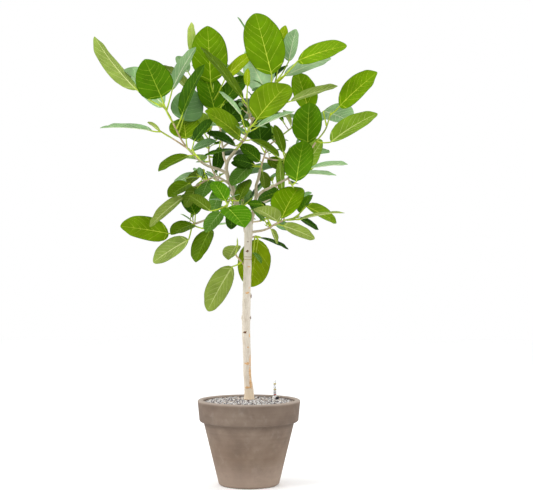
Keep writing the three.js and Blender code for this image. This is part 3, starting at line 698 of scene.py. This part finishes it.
def band_faces(bands, sides, first=0):
    """Faces between rings of points that follow each other"""
    faces = []
    for i in range(bands):
        low, high = first + i * sides, first + (i + 1) * sides
        for j in range(sides):
            k = (j + 1) % sides
            faces.append((low + j, low + k, high + k, high + j))
    return faces


def tube(points, radii, sides, relief=None):
    """Points and faces of a closed tube, with a relief over its distance along and its angle round"""
    points = np.asarray(points, float)
    normals, sideways = carried_normals(points)
    angles = ring_angles(sides)
    radii = np.broadcast_to(np.asarray(radii, float), len(points))[:, None] * np.ones(sides)
    if relief is not None:
        radii = radii + relief(points, angles)
    rings = (points[:, None, :] + normals[:, None, :] * (radii * np.cos(angles))[..., None]
             + sideways[:, None, :] * (radii * np.sin(angles))[..., None])
    last = (len(points) - 1) * sides
    ends = [tuple(range(sides))[::-1], tuple(last + j for j in range(sides))]
    return rings.reshape(-1, 3), band_faces(len(points) - 1, sides) + ends


def turned(profile, sides, x=0.0, y=0.0):
    """Points and faces of a solid turned from [radius, height] rows that start and end on the axis"""
    rings = [(r, z) for r, z in profile if r > 0]
    points = [(x, y, profile[0][1])]
    points += [(x + r * math.cos(a), y + r * math.sin(a), z) for r, z in rings for a in ring_angles(sides)]
    points.append((x, y, profile[-1][1]))
    last = 1 + (len(rings) - 1) * sides
    faces = band_faces(len(rings) - 1, sides, 1)
    for j in range(sides):
        k = (j + 1) % sides
        faces += [(0, 1 + k, 1 + j), (last + j, last + k, len(points) - 1)]
    return points, faces


def make_turned(name, slot, node, profile, sides, material, place=(0.0, 0.0)):
    """A turned piece, which replaces a node"""
    shape = Shape()
    shape.add(*turned(profile, sides, *place), material)
    shape.make(name, slot, [node])


def corner(radius, height, size, start, end, steps):
    """Points of a rounded corner, from one angle to another in degrees"""
    angles = np.radians(np.linspace(start, end, steps + 1))
    return [(radius + size * math.cos(a), height + size * math.sin(a)) for a in angles]


# Materials

def linear(colour):
    """A colour from 0 to 255 as the renderer's own red, green, blue and alpha"""
    shares = [c / 255 for c in colour]
    return tuple(s / 12.92 if s <= 0.04045 else ((s + 0.055) / 1.055) ** 2.4 for s in shares) + (1.0,)


def scaled(colour, factor):
    return tuple(min(255, c * factor) for c in colour)


class Nodes:
    """A material with its shader, and short ways to add the nodes that it needs"""

    def __init__(self, name, roughness, specular=0.5):
        self.material = bpy.data.materials.new(name)
        self.material.use_nodes = True
        self.tree = self.material.node_tree
        self.shader = self.tree.nodes["Principled BSDF"]
        self.shader.inputs["Roughness"].default_value = roughness
        self.shader.inputs["Specular IOR Level"].default_value = specular
        self.place = self.new("TexCoord").outputs["Object"]

    def new(self, kind, **values):
        """A node of a kind, with its inputs set or linked"""
        node = self.tree.nodes.new("ShaderNode" + kind)
        for key, value in values.items():
            self.fill(node.inputs[key.replace("_", " ")], value)
        return node

    def fill(self, target, value):
        """Links an input to a socket, or sets it to a constant"""
        if isinstance(value, bpy.types.NodeSocket):
            self.tree.links.new(value, target)
        else:
            target.default_value = value

    def stretched(self, *scale):
        """The place on the piece, stretched by a number for each axis"""
        return self.new("Mapping", Scale=scale, Vector=self.place).outputs["Vector"]

    def height(self):
        return self.new("SeparateXYZ", Vector=self.place).outputs["Z"]

    def noise(self, scale, detail=3.0, place=None, roughness=0.55):
        node = self.new("TexNoise", Scale=scale, Detail=detail, Roughness=roughness)
        self.fill(node.inputs["Vector"], place or self.place)
        return node.outputs["Fac"]

    def ramp(self, source, *stops):
        """Colours or greys over a value, from stops that are each a place and its colour or grey"""
        node = self.new("ValToRGB", Fac=source)
        elements = node.color_ramp.elements
        while len(elements) < len(stops):
            elements.new(0.5)
        for element, (place, colour) in zip(elements, stops):
            element.position = place
            element.color = linear(colour) if isinstance(colour, tuple) else (colour, colour, colour, 1)
        return node.outputs["Color"]

    def mix(self, factor, first, second):
        """Two colours mixed by a factor. Each may be a socket or a colour"""
        node = self.new("Mix")
        node.data_type = "RGBA"
        for key, value in ((0, factor), (6, first), (7, second)):
            self.fill(node.inputs[key], linear(value) if isinstance(value, tuple) else value)
        return node.outputs[2]

    def colour(self, source):
        self.fill(self.shader.inputs["Base Color"], source)

    def rough(self, source, low, high):
        """Roughness that follows a value, from low to high"""
        node = self.new("MapRange", Value=source, From_Min=0.3, From_Max=0.7, To_Min=low, To_Max=high)
        self.fill(self.shader.inputs["Roughness"], node.outputs["Result"])

    def bump(self, source, strength, distance):
        node = self.new("Bump", Strength=strength, Distance=distance, Height=source)
        normal = self.shader.inputs["Normal"]
        if normal.is_linked:
            self.fill(node.inputs["Normal"], normal.links[0].from_socket)
        self.fill(normal, node.outputs["Normal"])


def mottled(name, colour, roughness, spread=0.1, scale=40.0, grain=900.0, relief=0.0002, specular=0.5):
    """A finish whose tone drifts a little over the surface, with a fine grain"""
    nodes = Nodes(name, roughness, specular)
    drift = nodes.noise(scale)
    nodes.colour(nodes.ramp(drift, (0.3, scaled(colour, 1 - spread)), (0.7, scaled(colour, 1 + spread))))
    fine = nodes.noise(grain, 2.0)
    nodes.rough(fine, roughness - 0.06, roughness + 0.06)
    nodes.bump(fine, 0.4, relief)
    return nodes.material


def leaf_material(tone):
    """A waxy upper face or a matt underside, with the tone's colour"""
    roughness = 0.7 if tone in UNDER_TONES else 0.45
    return mottled(f"leaf_{tone}", TONE_COLOURS[tone][0], roughness, 0.08, 24.0, 700.0, 0.00015, 0.04)


def vein_material(tone):
    return mottled(f"vein_{tone}", TONE_COLOURS[tone][1], 0.5, 0.05, 60.0, 900.0, 0.0001, 0.06)


def clay_material():
    """Grey-brown clay, clouded and stained, with faint turning lines, a pale foot, a painted shadow line
    under the collar, a darker collar face, and a painted highlight on the rim's top
    """
    nodes = Nodes("clay", 0.88, 0.3)
    height = nodes.height()
    clouds = nodes.noise(9.0, 5.0, roughness=0.6)
    base = nodes.ramp(clouds, (0.30, (100, 86, 75)), (0.48, (120, 103, 90)), (0.68, (138, 122, 108)))
    lines = nodes.noise(1.0, 3.0, nodes.stretched(3.0, 3.0, 190.0))
    streaks = nodes.ramp(lines, (0.35, (96, 82, 72)), (0.65, (172, 156, 142)))
    lined = nodes.mix(0.05, base, streaks)
    bloom = nodes.noise(26.0, 6.0, nodes.stretched(1.0, 1.0, 0.6), 0.7)
    patches = nodes.ramp(bloom, (0.56, 0), (0.72, 1))
    bloomed = nodes.mix(patches, lined, nodes.mix(0.18, lined, (190, 180, 170)))
    stains = nodes.noise(13.0, 4.0, nodes.stretched(1.0, 1.0, 1.4), 0.65)
    stained = nodes.mix(nodes.ramp(stains, (0.54, 0), (0.64, 0.3)), bloomed, (92, 80, 70))
    warmth = nodes.ramp(height, (0.04, 0), (0.09, 0.32), (0.17, 0))
    warmed = nodes.mix(warmth, stained, (124, 102, 82))
    foot = nodes.ramp(height, (0.0, 0.55), (0.03, 0.44), (0.06, 0.16), (0.085, 0))
    paled = nodes.mix(foot, warmed, (172, 152, 136))
    # Painted shadow: a thin dark line just under the collar, and the collar's face darkened, more towards
    # the rim
    collar_shadow_band = (0.176, 0), (0.186, 0.5), (0.194, 0.25), (0.228, 0.3), (0.246, 0.42), (0.252, 0)
    collar_shadowed = nodes.mix(nodes.ramp(height, *collar_shadow_band), paled, (88, 75, 66))
    # Painted highlight: the rim's rounded top is lightened where the light from above falls on it
    rim_highlight = nodes.ramp(height, (0.2515, 0), (0.2545, 0.4))
    nodes.colour(nodes.mix(rim_highlight, collar_shadowed, (206, 194, 184)))
    nodes.rough(clouds, 0.82, 0.95)
    nodes.bump(lines, 0.15, 0.0005)
    nodes.bump(nodes.noise(420.0, 6.0, roughness=0.7), 0.5, 0.0004)
    return nodes.material


def bark_material(name, light, dark, warm):
    """Pale bark with fine streaks along the limb, small pores, and a warmer foot"""
    nodes = Nodes(name, 0.72, 0.35)
    streaks = nodes.noise(1.0, 5.0, nodes.stretched(260.0, 260.0, 34.0), 0.6)
    streaked = nodes.ramp(streaks, (0.32, dark), (0.56, light))
    clouds = nodes.ramp(nodes.noise(38.0, 4.0), (0.35, dark), (0.6, light))
    clouded = nodes.mix(0.35, streaked, clouds)
    foot = nodes.ramp(nodes.height(), (0.26, 0.8), (0.3, 0.25), (0.36, 0))
    warmed = nodes.mix(foot, clouded, nodes.mix(0.55, clouded, warm))
    pores = nodes.noise(1.0, 2.0, nodes.stretched(420.0, 420.0, 900.0))
    spots = nodes.ramp(pores, (0.66, 0), (0.74, 1))
    nodes.colour(nodes.mix(spots, warmed, nodes.mix(0.35, warmed, (150, 118, 84))))
    nodes.bump(streaks, 0.5, 0.0005)
    nodes.bump(pores, 0.4, 0.0003)
    return nodes.material


def clear_material():
    nodes = Nodes("gauge_clear", 0.08, 0.2)
    nodes.colour(linear((246, 248, 248)))
    nodes.shader.inputs["Transmission Weight"].default_value = 0.9
    nodes.shader.inputs["IOR"].default_value = 1.08
    nodes.bump(nodes.noise(300.0), 0.1, 0.0001)
    return nodes.material


# Leaves

def blade_rows():
    """Shares along the midrib of the blade's rows, where every fourth one is a pair of veins"""
    veins = np.linspace(FIRST_VEIN, LAST_VEIN, ROWS_PER_VEIN * (VEIN_PLACES - 1) + 1)
    return np.concatenate([[0.006, 0.018], veins, [0.895, 0.93, 0.962, 0.988]])


def blade_columns():
    """Shares across the blade of its columns, closer together near the margins"""
    even = np.linspace(-1, 1, 2 * HALF_COLUMNS + 1)
    return 0.5 * even + 0.5 * np.sin(even * math.pi / 2)


def slanted(row, across):
    """Share along the blade of a point on a row that runs up from the midrib, as the veins do"""
    rise = VEIN_SLANT * (1 - (1 - row) ** 6) * (1 - row) ** 0.9
    return row + rise * np.abs(across) ** 1.05


def quilting(leaf, row, across):
    """Height of the blade between its veins, with a slow wave along its margins"""
    phase = np.clip((row - FIRST_VEIN) / (LAST_VEIN - FIRST_VEIN), 0, 1) * (VEIN_PLACES - 1)
    fade = np.sin(np.clip(np.abs(across), 0, 1) ** 0.8 * math.pi) ** 0.7
    puff = QUILT_DEPTH * leaf.blade / USUAL_BLADE * np.sin(phase * math.pi) ** 2 * fade
    turns = 1.3 + 0.8 * noise(leaf.seed + 0.2)
    shift = 6 * noise(leaf.seed + 0.3) + np.where(across > 0, 1.7, 0)
    wave = MARGIN_WAVE * leaf.blade * np.sin(turns * 2 * math.pi * row + shift) * np.abs(across) ** 2
    return puff + wave * np.sin(math.pi * np.clip(row, 0, 1))


def blade_faces(rows, columns):
    """Faces of the upper and lower sheets, which share their margins and their two ends"""
    def upper(i, j):
        return 2 + i * columns + j

    def lower(i, j):
        if j in (0, columns - 1):
            return upper(i, j)
        return 2 + rows * columns + i * (columns - 2) + j - 1

    top, under = [], []
    for j in range(columns - 1):
        top.append((0, upper(0, j), upper(0, j + 1)))
        under.append((0, lower(0, j + 1), lower(0, j)))
        for i in range(rows - 1):
            top.append((upper(i, j), upper(i + 1, j), upper(i + 1, j + 1), upper(i, j + 1)))
            under.append((lower(i, j), lower(i, j + 1), lower(i + 1, j + 1), lower(i + 1, j)))
        top.append((upper(rows - 1, j), 1, upper(rows - 1, j + 1)))
        under.append((lower(rows - 1, j), lower(rows - 1, j + 1), 1))
    return top, under


ROWS = blade_rows()
COLUMNS = blade_columns()
UPPER_FACES, UNDER_FACES = blade_faces(len(ROWS), len(COLUMNS))
# Whether each face of a sheet lies on the blade's margin
MARGIN_FACES = [column in (0, len(COLUMNS) - 2) for column in range(len(COLUMNS) - 1)
                for _ in range(len(ROWS) + 1)]


def face_tones(leaf):
    """Tones of the upper face and the underside. All but the bright, fresh and yellow leaves take the darker
    slate underside, which is painted shade
    """
    if leaf.tone in UNDER_TONES:
        return "mid", leaf.tone
    return leaf.tone, "pale" if leaf.tone in PALE_BACKED_TONES else "slate"


def add_blade(shape, leaf, materials):
    """The blade as two sheets that meet at the margin, where both have the leaf's own tone"""
    row, across = np.meshgrid(ROWS, COLUMNS, indexing="ij")
    along = slanted(row, across)
    middle = quilting(leaf, row, across)
    half = BLADE_HALF_THICKNESS * (1 - across ** 4)
    ends = blade_points(leaf, np.array([0.0, 1.0]), 0.0, 0.0)
    top = blade_points(leaf, along, across, middle + half).reshape(-1, 3)
    under = blade_points(leaf, along, across, middle - half)[:, 1:-1].reshape(-1, 3)
    finishes = [materials[leaf.tone if rim else tone] for tone in face_tones(leaf) for rim in MARGIN_FACES]
    shape.add(np.vstack([ends, top, under]), UPPER_FACES + UNDER_FACES, finishes)


def add_ridge(shape, crest, edges, side, material):
    """A low ridge: a line of crest points between two lines of edge points"""
    count = len(crest)
    faces = []
    for i in range(count - 1):
        low, high = count + i, 2 * count + i
        strips = [(i, i + 1, low + 1, low), (low, low + 1, high + 1, high)]
        faces += [strip[::-1] for strip in strips] if side > 0 else strips
    shape.add(np.vstack([edges[0], crest, edges[1]]), faces, material)


def add_vein(shape, leaf, row, sign, side, material):
    """One lateral vein, from the midrib nearly to the margin, on the upper or the under side"""
    across = sign * COLUMNS[HALF_COLUMNS:-1]
    fade = np.linspace(1, 0.3, len(across))
    spread = VEIN_HALF_WIDTH * fade / leaf.blade * (0.6 + 0.4 * leaf.blade / USUAL_BLADE)
    lift = side * (BLADE_HALF_THICKNESS + (0.22 if side > 0 else 0.5) * fade)
    sunk = side * (BLADE_HALF_THICKNESS - 0.12)

    def line(shift, height):
        along = slanted(row + shift, across)
        return blade_points(leaf, along, across, quilting(leaf, row + shift, across) + height)

    edges = line(-spread * sign, sunk), line(spread * sign, sunk)
    add_ridge(shape, line(0, lift), edges, side, material)


def add_midrib(shape, leaf, side, material):
    """The midrib, tapering from the stalk to the tip"""
    along = np.concatenate([ROWS[1::2], [0.992]])
    width = MIDRIB_HALF_WIDTH * (1 - 0.8 * along) * (0.5 + 0.5 * leaf.blade / USUAL_BLADE)
    spread = np.clip(width / (leaf.half_width * outline(along)), 0, 0.8)
    lift = side * (BLADE_HALF_THICKNESS + (0.4 if side > 0 else 1.0) * (1 - 0.8 * along))
    sunk = side * (BLADE_HALF_THICKNESS - 0.15)
    edges = blade_points(leaf, along, -spread, sunk), blade_points(leaf, along, spread, sunk)
    add_ridge(shape, blade_points(leaf, along, 0.0, lift), edges, side, material)


def add_veins(shape, leaf, materials):
    """Midrib and veins on both faces of a leaf. The last place, near the tip, has no veins"""
    for side, tone in zip((1, -1), face_tones(leaf)):
        add_midrib(shape, leaf, side, materials[tone])
        for row in np.linspace(FIRST_VEIN, LAST_VEIN, VEIN_PLACES)[:-1]:
            for sign in (-1, 1):
                add_vein(shape, leaf, row, sign, side, materials[tone])


def add_stalk(shape, leaf, material):
    """A round stalk from the twig into the blade, with a swollen foot"""
    base = blade_points(leaf, np.array([0.0, 0.06, 0.12]), 0.0, 0.0)
    size = 0.6 + 0.4 * min(1, leaf.blade / 130)
    sag = -UP * np.linalg.norm(base[0] - leaf.node) * 0.06
    middle = [leaf.node + (base[0] - leaf.node) * share + sag * math.sin(math.pi * share)
              for share in (0.12, 0.3, 0.55, 0.8)]
    radii = STALK_RADIUS * size * np.array([1.55, 1.3, 1.0, 0.95, 0.95, 0.9, 0.6, 0.35])
    shape.add(*tube([leaf.node, *middle, *base], radii, STALK_SIDES), material)


# Twigs

def twig_relief(points, angles):
    """Ring scars where older leaves stood"""
    spacing, first = TWIG_SCARS
    ring = np.exp(-((distances(points) % spacing) - first) ** 2 / 1.6)
    return 0.35 * ring[:, None] * np.ones(len(angles))


def add_twig(shape, path, radii, materials):
    """A twig that is bark near its foot and green near its tip, and ends in a pointed bud"""
    chain = smooth_chain([[*point, radius] for point, radius in zip(path, radii)], 4.0)
    points, faces = tube(chain[:, :3], chain[:, 3], TWIG_SIDES, twig_relief)
    green_from = YOUNG_FROM * len(chain)
    finishes = [materials["young" if i // TWIG_SIDES > green_from else "bark"] for i in range(len(faces))]
    shape.add(points, faces, finishes)
    add_bud(shape, chain[-1, :3], unit(chain[-1, :3] - chain[-3, :3]), radii[-1], materials["bud"])


def add_bud(shape, tip, along, radius, material):
    """A slim pointed sheath at the tip of a twig"""
    length = BUD_LENGTH * radius
    shares = np.array([-0.1, 0.1, 0.3, 0.6, 0.85, 1.0])
    radii = radius * np.array([0.9, 1.15, 1.1, 0.7, 0.3, 0.06])
    shape.add(*tube(tip + shares[:, None] * length * along, radii, BUD_SIDES), material)


def make_mass(name, leaves, sprigs, finishes):
    """The leaves, veins, stalks and twigs of one mass, each kind as one piece"""
    blades, veins, stalks, twigs = Shape(), Shape(), Shape(), Shape()
    for path, _ in MASSES[name]:
        add_twig(twigs, path, np.linspace(TWIG_RADIUS, TWIG_TIP_RADIUS, len(path)), finishes["twig"])
    for sprig in sprigs:
        add_twig(twigs, sprig.points, SPRIG_RADIUS * np.array([1.3, 1.0, 0.8]), finishes["twig"])
    for leaf in leaves + [leaf for sprig in sprigs for leaf in sprig.leaves]:
        add_blade(blades, leaf, finishes["leaf"])
        add_veins(veins, leaf, finishes["vein"])
        add_stalk(stalks, leaf, finishes["stalk"])
    mass = name.removeprefix("foliage_")
    blades.make(f"leaves_{mass}", "leaf", [name])
    veins.make(f"veins_{mass}", "leaf")
    stalks.make(f"stalks_{mass}", "leaf")
    twigs.make(f"twigs_{mass}", "bark")


# Trunk and boughs

def bark_relief(points, angles):
    """Slow swellings, fine wrinkles round the limb and ring scars"""
    spacing, first = BARK_SCARS
    lengths = distances(points)[:, None]
    swell = 0.35 * np.sin(lengths / 21 + 1.3 * np.sin(angles)) + 0.25 * np.sin(lengths / 8.3 + 2 * angles)
    wrinkle = 0.12 * np.sin(lengths / 1.9 + 1.5 * np.sin(2 * angles + lengths / 30))
    ring = 0.3 * np.exp(-((lengths % spacing) - first) ** 2 / 2.2)
    return (swell + wrinkle + ring) * np.clip(lengths / 6, 0.2, 1)


def mark_weights(heights, angles, mark):
    """How strongly a mark shows at each height and angle, 1 at its middle and 0 past its edge"""
    height, turn, half_width, half_height, _, _ = mark
    turned_by = (angles - math.radians(turn) + math.pi) % (2 * math.pi) - math.pi
    wobble = 1 + 0.25 * np.sin(5 * turned_by + heights)
    distance = np.hypot(turned_by * MARK_RADIUS / half_width, (heights - height) / half_height) * wobble
    return np.clip(1.4 - distance, 0, 1)


def trunk_relief(points, angles):
    """The bark's relief with the trunk's knots, scars and rings"""
    relief = bark_relief(points, angles)
    heights = points[:, 2:]
    for mark in TRUNK_MARKS:
        relief = relief + mark[4] * mark_weights(heights, angles, mark) ** 0.7
    for height, half, lift in TRUNK_RINGS:
        relief = relief + lift * np.exp(-((heights - height) / half / 1.6) ** 2)
    root = np.clip((ROOT_TOP - heights) / ROOT_HEIGHT, 0, 1) ** 2
    return relief + root * (1.2 * np.sin(3 * angles + 0.6) + 0.8 * np.sin(5 * angles))


def trunk_finishes(chain, finishes):
    """The finish of each face of the trunk, by the marks and rings that it lies in"""
    heights = (chain[:-1, 2:3] + chain[1:, 2:3]) / 2
    angles = ring_angles(TRUNK_SIDES) + math.pi / TRUNK_SIDES
    names = np.full((len(heights), TRUNK_SIDES), "bark", dtype=object)
    for mark in TRUNK_MARKS:
        if mark[5] != "plain":
            names[mark_weights(heights, angles, mark) > 0.4] = mark[5]
    for height, half, _ in TRUNK_RINGS[:COLOURED_RINGS]:
        names[np.abs(heights[:, 0] - height) < half] = "ring"
    return [finishes[name] for name in names.ravel()] + [finishes["bark"]] * 2


def make_trunk(finishes):
    chain = smooth_chain(TRUNK, 2.0)
    chain = chain[chain[:, 2] >= GAUGE.foot]
    chain[0, 2] = GAUGE.foot
    points, faces = tube(chain[:, :3], chain[:, 3], TRUNK_SIDES, trunk_relief)
    points[:TRUNK_SIDES, 2] = GAUGE.foot
    shape = Shape()
    shape.add(points, faces, trunk_finishes(chain, finishes))
    shape.make("bark_trunk", "bark", ["trunk"])


def make_bough(name, rows, finishes):
    """A bough that grows from inside its parent with a flared foot"""
    foot_radius = rows[0][3]
    chain = smooth_chain(rows, 2.5)
    radii = chain[:, 3] * (1 + 0.35 * np.exp(-distances(chain[:, :3]) / 9))
    depth = min(1, foot_radius / 8)
    shape = Shape()
    sides = BOUGH_SIDES[0 if foot_radius > THICK_FOOT else 1]
    points, faces = tube(chain[:, :3], radii, sides,
                         lambda points, angles: bark_relief(points, angles) * depth)
    shape.add(points, faces, finishes["bough"])
    shape.make(f"bark_{name}", "bark", [name])


# Pot, gravel and gauge

def between(start, end, share):
    return start + (end - start) * share


def inner_radius(height):
    share = (height - POT.floor_thickness) / (POT.rim_height - POT.floor_thickness)
    return between(POT.floor_inner_radius, POT.rim_inner_radius, share)


def pot_wall(start, end, steps):
    """A wall between two [radius, height] points with faint ripples from turning"""
    rows = []
    for i in range(1, steps):
        share = i / steps
        height = between(start[1], end[1], share)
        ripple = 0.03 * math.sin(height / 1.7) + 0.07 * math.sin(height / 4.9 + 1) + 0.02 * jitter(height)
        rows.append((between(start[0], end[0], share) + ripple * math.sin(math.pi * share) ** 0.3, height))
    return rows


def make_pot():
    foot, lip, edge, top = POT.foot_edge, POT.collar_edge, POT.rim_edge, POT.rim_height
    steps = POT.corner_steps
    shoulder = (POT.shoulder_radius, POT.collar_height - 1.5)
    foot_rows = corner(POT.foot_radius - foot, foot, foot, -90, 0, steps)
    lip_rows = corner(POT.collar_radius - lip, POT.collar_height + lip, lip, -85, 0, steps)
    outer = corner(POT.rim_radius - edge, top - edge, edge, 0, 90, steps)
    inner = corner(POT.rim_inner_radius + edge, top - edge, edge, 90, 180, steps)
    profile = [
        (0, 0), *foot_rows, *pot_wall(foot_rows[-1], shoulder, POT.wall_steps), shoulder,
        (POT.shoulder_radius + 0.6, POT.collar_height + 0.2),
        *lip_rows, *pot_wall(lip_rows[-1], outer[0], POT.collar_steps), *outer, *inner,
        (inner_radius(POT.rim_foot), POT.rim_foot),
        (POT.floor_inner_radius, POT.floor_thickness), (0, POT.floor_thickness),
    ]
    make_turned("pot_clay", "clay", "pot", profile, 160, clay_material())


def make_bed():
    """The bed that the grains lie on"""
    floor, edge = POT.floor_thickness + 1, GRAVEL.edge_height
    profile = [
        (0, floor), (inner_radius(floor) - 1, floor), (inner_radius(edge) - 0.5, edge),
        (GRAVEL.flat_radius, GRAVEL.height), (0, GRAVEL.height),
    ]
    shade = mottled("gravel_shade", (72, 64, 58), 0.95, 0.3, 200.0, relief=0.0008)
    make_turned("gravel_bed", "gravel", "gravel", profile, 96, shade)


def bed_height(radius):
    share = np.clip((radius - GRAVEL.flat_radius) / (GRAVEL.radius - GRAVEL.flat_radius), 0, 1)
    return between(GRAVEL.height, GRAVEL.edge_height, share)


def ball_points():
    """Points and triangles of a small round ball"""
    bpy.ops.mesh.primitive_ico_sphere_add(subdivisions=2, radius=1)
    ball = bpy.context.object
    points = np.array([v.co for v in ball.data.vertices])
    faces = [tuple(p.vertices) for p in ball.data.polygons]
    bpy.data.objects.remove(ball)
    return points, faces


def turn_matrix(random):
    """A random turn in space"""
    matrix, _ = np.linalg.qr(random.normal(size=(3, 3)))
    return matrix * np.sign(np.linalg.det(matrix))


def make_grains():
    """Grains strewn evenly over the bed, each a dented ball, joined by colour"""
    finishes = {
        name: mottled(f"grain_{name}", colour, roughness, spread, 150.0, relief=0.0004)
        for name, (_, colour, roughness, spread) in GRAINS.items()
    }
    random = np.random.default_rng(GRAVEL.seed)
    ball, faces = ball_points()
    shapes = {name: Shape() for name in GRAINS}
    running_shares = [grain[0] for grain in GRAINS.values()]
    outer, strewn = GRAVEL.radius - GRAVEL.margin, GRAVEL.strewn
    for i in range(GRAVEL.grains):
        radius = outer * math.sqrt((i + 0.5) / GRAVEL.grains) + random.uniform(-strewn, strewn)
        angle = math.radians(GOLDEN_ANGLE) * i + random.uniform(-0.02, 0.02)
        size = random.uniform(GRAVEL.smallest, GRAVEL.largest) * np.array(GRAVEL.form)
        dents = 1 + GRAVEL.dents * random.uniform(-1, 1, (len(ball), 1))
        points = (ball * dents * size) @ turn_matrix(random).T
        height = bed_height(radius) + random.uniform(0, GRAVEL.heaped)
        name = list(GRAINS)[np.searchsorted(running_shares, random.random())]
        place = [radius * math.cos(angle), radius * math.sin(angle), height]
        shapes[name].add(points + place, faces, finishes[name])
    for name, shape in shapes.items():
        shape.make(f"gravel_{name}", "gravel", smooth=False)


def make_gauge():
    """The water gauge: a clear tube with a scale inside, its collar, and a dark cap beside it"""
    place, foot = (GAUGE.x, GAUGE.y), GAUGE.foot
    wide, radius = GAUGE.collar_radius, GAUGE.tube_radius
    tube_foot = foot + GAUGE.collar_height
    top = tube_foot + GAUGE.tube_height
    collar = [
        (0, foot), *corner(wide - 1, foot + 1, 1, -90, 0, 4),
        *corner(wide - 1.4, foot + 2.6, 1.4, 0, 80, 5), (radius + 1.4, foot + 4.4),
        *corner(radius + 0.4, tube_foot - 0.8, 0.8, 0, 90, 4), (0, tube_foot),
    ]
    white = mottled("gauge_collar_white", (226, 224, 222), 0.4, 0.03)
    make_turned("gauge_foot", "white_plastic", "gauge_collar", collar, 40, white, place)
    glass = [
        (0, tube_foot - 0.4), (radius, tube_foot - 0.4), (radius, top - 4),
        *corner(radius - 1.5, top - 1.5, 1.5, 0, 90, 6), (0, top),
    ]
    make_turned("gauge_glass", "clear_plastic", "gauge_tube", glass, 32, clear_material(), place)
    make_scale(place, tube_foot, top)
    make_cap(foot)


def make_scale(place, foot, top):
    """The gauge's inner scale, with its float and two plain marks"""
    finishes = {
        "mark": mottled("gauge_yellow", (222, 196, 92), 0.45, 0.04),
        "float": mottled("gauge_red", (176, 62, 50), 0.4, 0.05),
    }
    radius, half = GAUGE.scale_radius, GAUGE.ring_half_height
    core = [(0, foot), (radius, foot), (radius, top - 3), (radius - 0.6, top - 2.2), (0, top - 2.2)]
    shape = Shape()
    shape.add(*turned(core, 24, *place), mottled("gauge_scale_white", (244, 244, 246), 0.4, 0.03))
    for share, kind in GAUGE_RINGS:
        height = foot + share * GAUGE.tube_height
        low, high, wide = height - half, height + half, GAUGE.ring_radius
        ring = [(0, low), (wide, low), (wide + 0.1, height), (wide, high), (0, high)]
        shape.add(*turned(ring, 24, *place), finishes[kind])
    shape.make("gauge_scale", "white_plastic")


def make_cap(foot):
    wide, top = GAUGE.cap_radius, foot + GAUGE.cap_height
    rings = [
        (0, foot), (wide, foot), *corner(wide - 1, top - 1, 1, 0, 90, 5), (1.4, top - 0.7), (0, top - 0.7),
    ]
    black = mottled("gauge_black", (40, 38, 44), 0.35, 0.1)
    make_turned("gauge_lid", "black_plastic", "gauge_cap", rings, 32, black, (GAUGE.cap_x, GAUGE.cap_y))


# The whole plant

def make_plant():
    finishes = {
        "leaf": {tone: leaf_material(tone) for tone in TONE_COLOURS},
        "vein": {tone: vein_material(tone) for tone in TONE_COLOURS},
        "stalk": mottled("stalk", (170, 192, 30), 0.45, 0.12, 50.0),
        "twig": {
            "bark": mottled("twig_bark", (176, 156, 124), 0.7, 0.16, 70.0, relief=0.0004),
            "young": mottled("twig_young", (152, 168, 60), 0.55, 0.14, 60.0),
            "bud": mottled("bud", (168, 190, 84), 0.45, 0.1, 60.0),
        },
    }
    leaves = grow_leaves()
    sprigs = grow_sprigs(leaves)
    for name in MASSES:
        make_mass(name, leaves[name], sprigs[name], finishes)


def make_limbs():
    finishes = {
        "bark": bark_material("bark", (214, 205, 191), (190, 177, 158), (248, 218, 174)),
        "bough": bark_material("bough_bark", (196, 184, 158), (160, 144, 114), (196, 184, 158)),
        "scar": mottled("bark_scar", (98, 62, 34), 0.85, 0.2, 300.0, relief=0.0005),
        "rust": mottled("bark_rust", (206, 162, 112), 0.75, 0.12, 200.0, relief=0.0004),
        "ring": mottled("bark_ring", (166, 146, 104), 0.75, 0.15, 200.0, relief=0.0004),
    }
    make_trunk(finishes)
    for name, rows in BOUGHS.items():
        make_bough(name, rows, finishes)


# Floor, light and camera, in metres

FLOOR_HALF = 7.0
CAMERA_PLACE = (0.053, -4.0, 0.687)
CAMERA_AIM = Vector((0.053, 0.0, 0.723))
CAMERA_LENS = 89.25
LAMP_AIM = Vector((0, 0, 0.8))
# Soft lamps as [place, size, power]
LAMPS = {
    "key": [(-1.8, -1.9, 3.2), 1.2, 36],
    "left": [(-2.6, 0.5, 1.4), 1.6, 22],
    "right": [(2.6, 0.3, 1.5), 1.6, 18],
    "back": [(0.4, 2.6, 2.8), 1.6, 14],
}


def make_floor():
    mesh = bpy.data.meshes.new("floor")
    corners = [(x * FLOOR_HALF, y * FLOOR_HALF, 0) for x, y in ((-1, -1), (1, -1), (1, 1), (-1, 1))]
    mesh.from_pydata(corners, [], [(0, 1, 2, 3)])
    mesh.materials.append(mottled("floor_white", (254, 254, 254), 0.9, 0.003, 2.0, 40.0, 0.0001, 0.05))
    add_object("floor", mesh)


def light_scene():
    scene = bpy.context.scene
    world = bpy.data.worlds.new("soft_white")
    world.use_nodes = True
    background = world.node_tree.nodes["Background"]
    background.inputs["Color"].default_value = (1, 1, 1, 1)
    background.inputs["Strength"].default_value = 1.0
    scene.world = world
    for name, (place, size, power) in LAMPS.items():
        light = bpy.data.lights.new(name, "AREA")
        light.shape = "DISK"
        light.size = size
        light.energy = power
        add_object(name, light, place, LAMP_AIM)
    scene.view_settings.view_transform = "Standard"


def make_camera():
    data = bpy.data.cameras.new("camera")
    data.lens = CAMERA_LENS
    data.sensor_width = 36
    bpy.context.scene.camera = add_object("camera", data, CAMERA_PLACE, CAMERA_AIM)


make_camera()
make_floor()
light_scene()
make_pot()
make_bed()
make_grains()
make_gauge()
make_limbs()
make_plant()
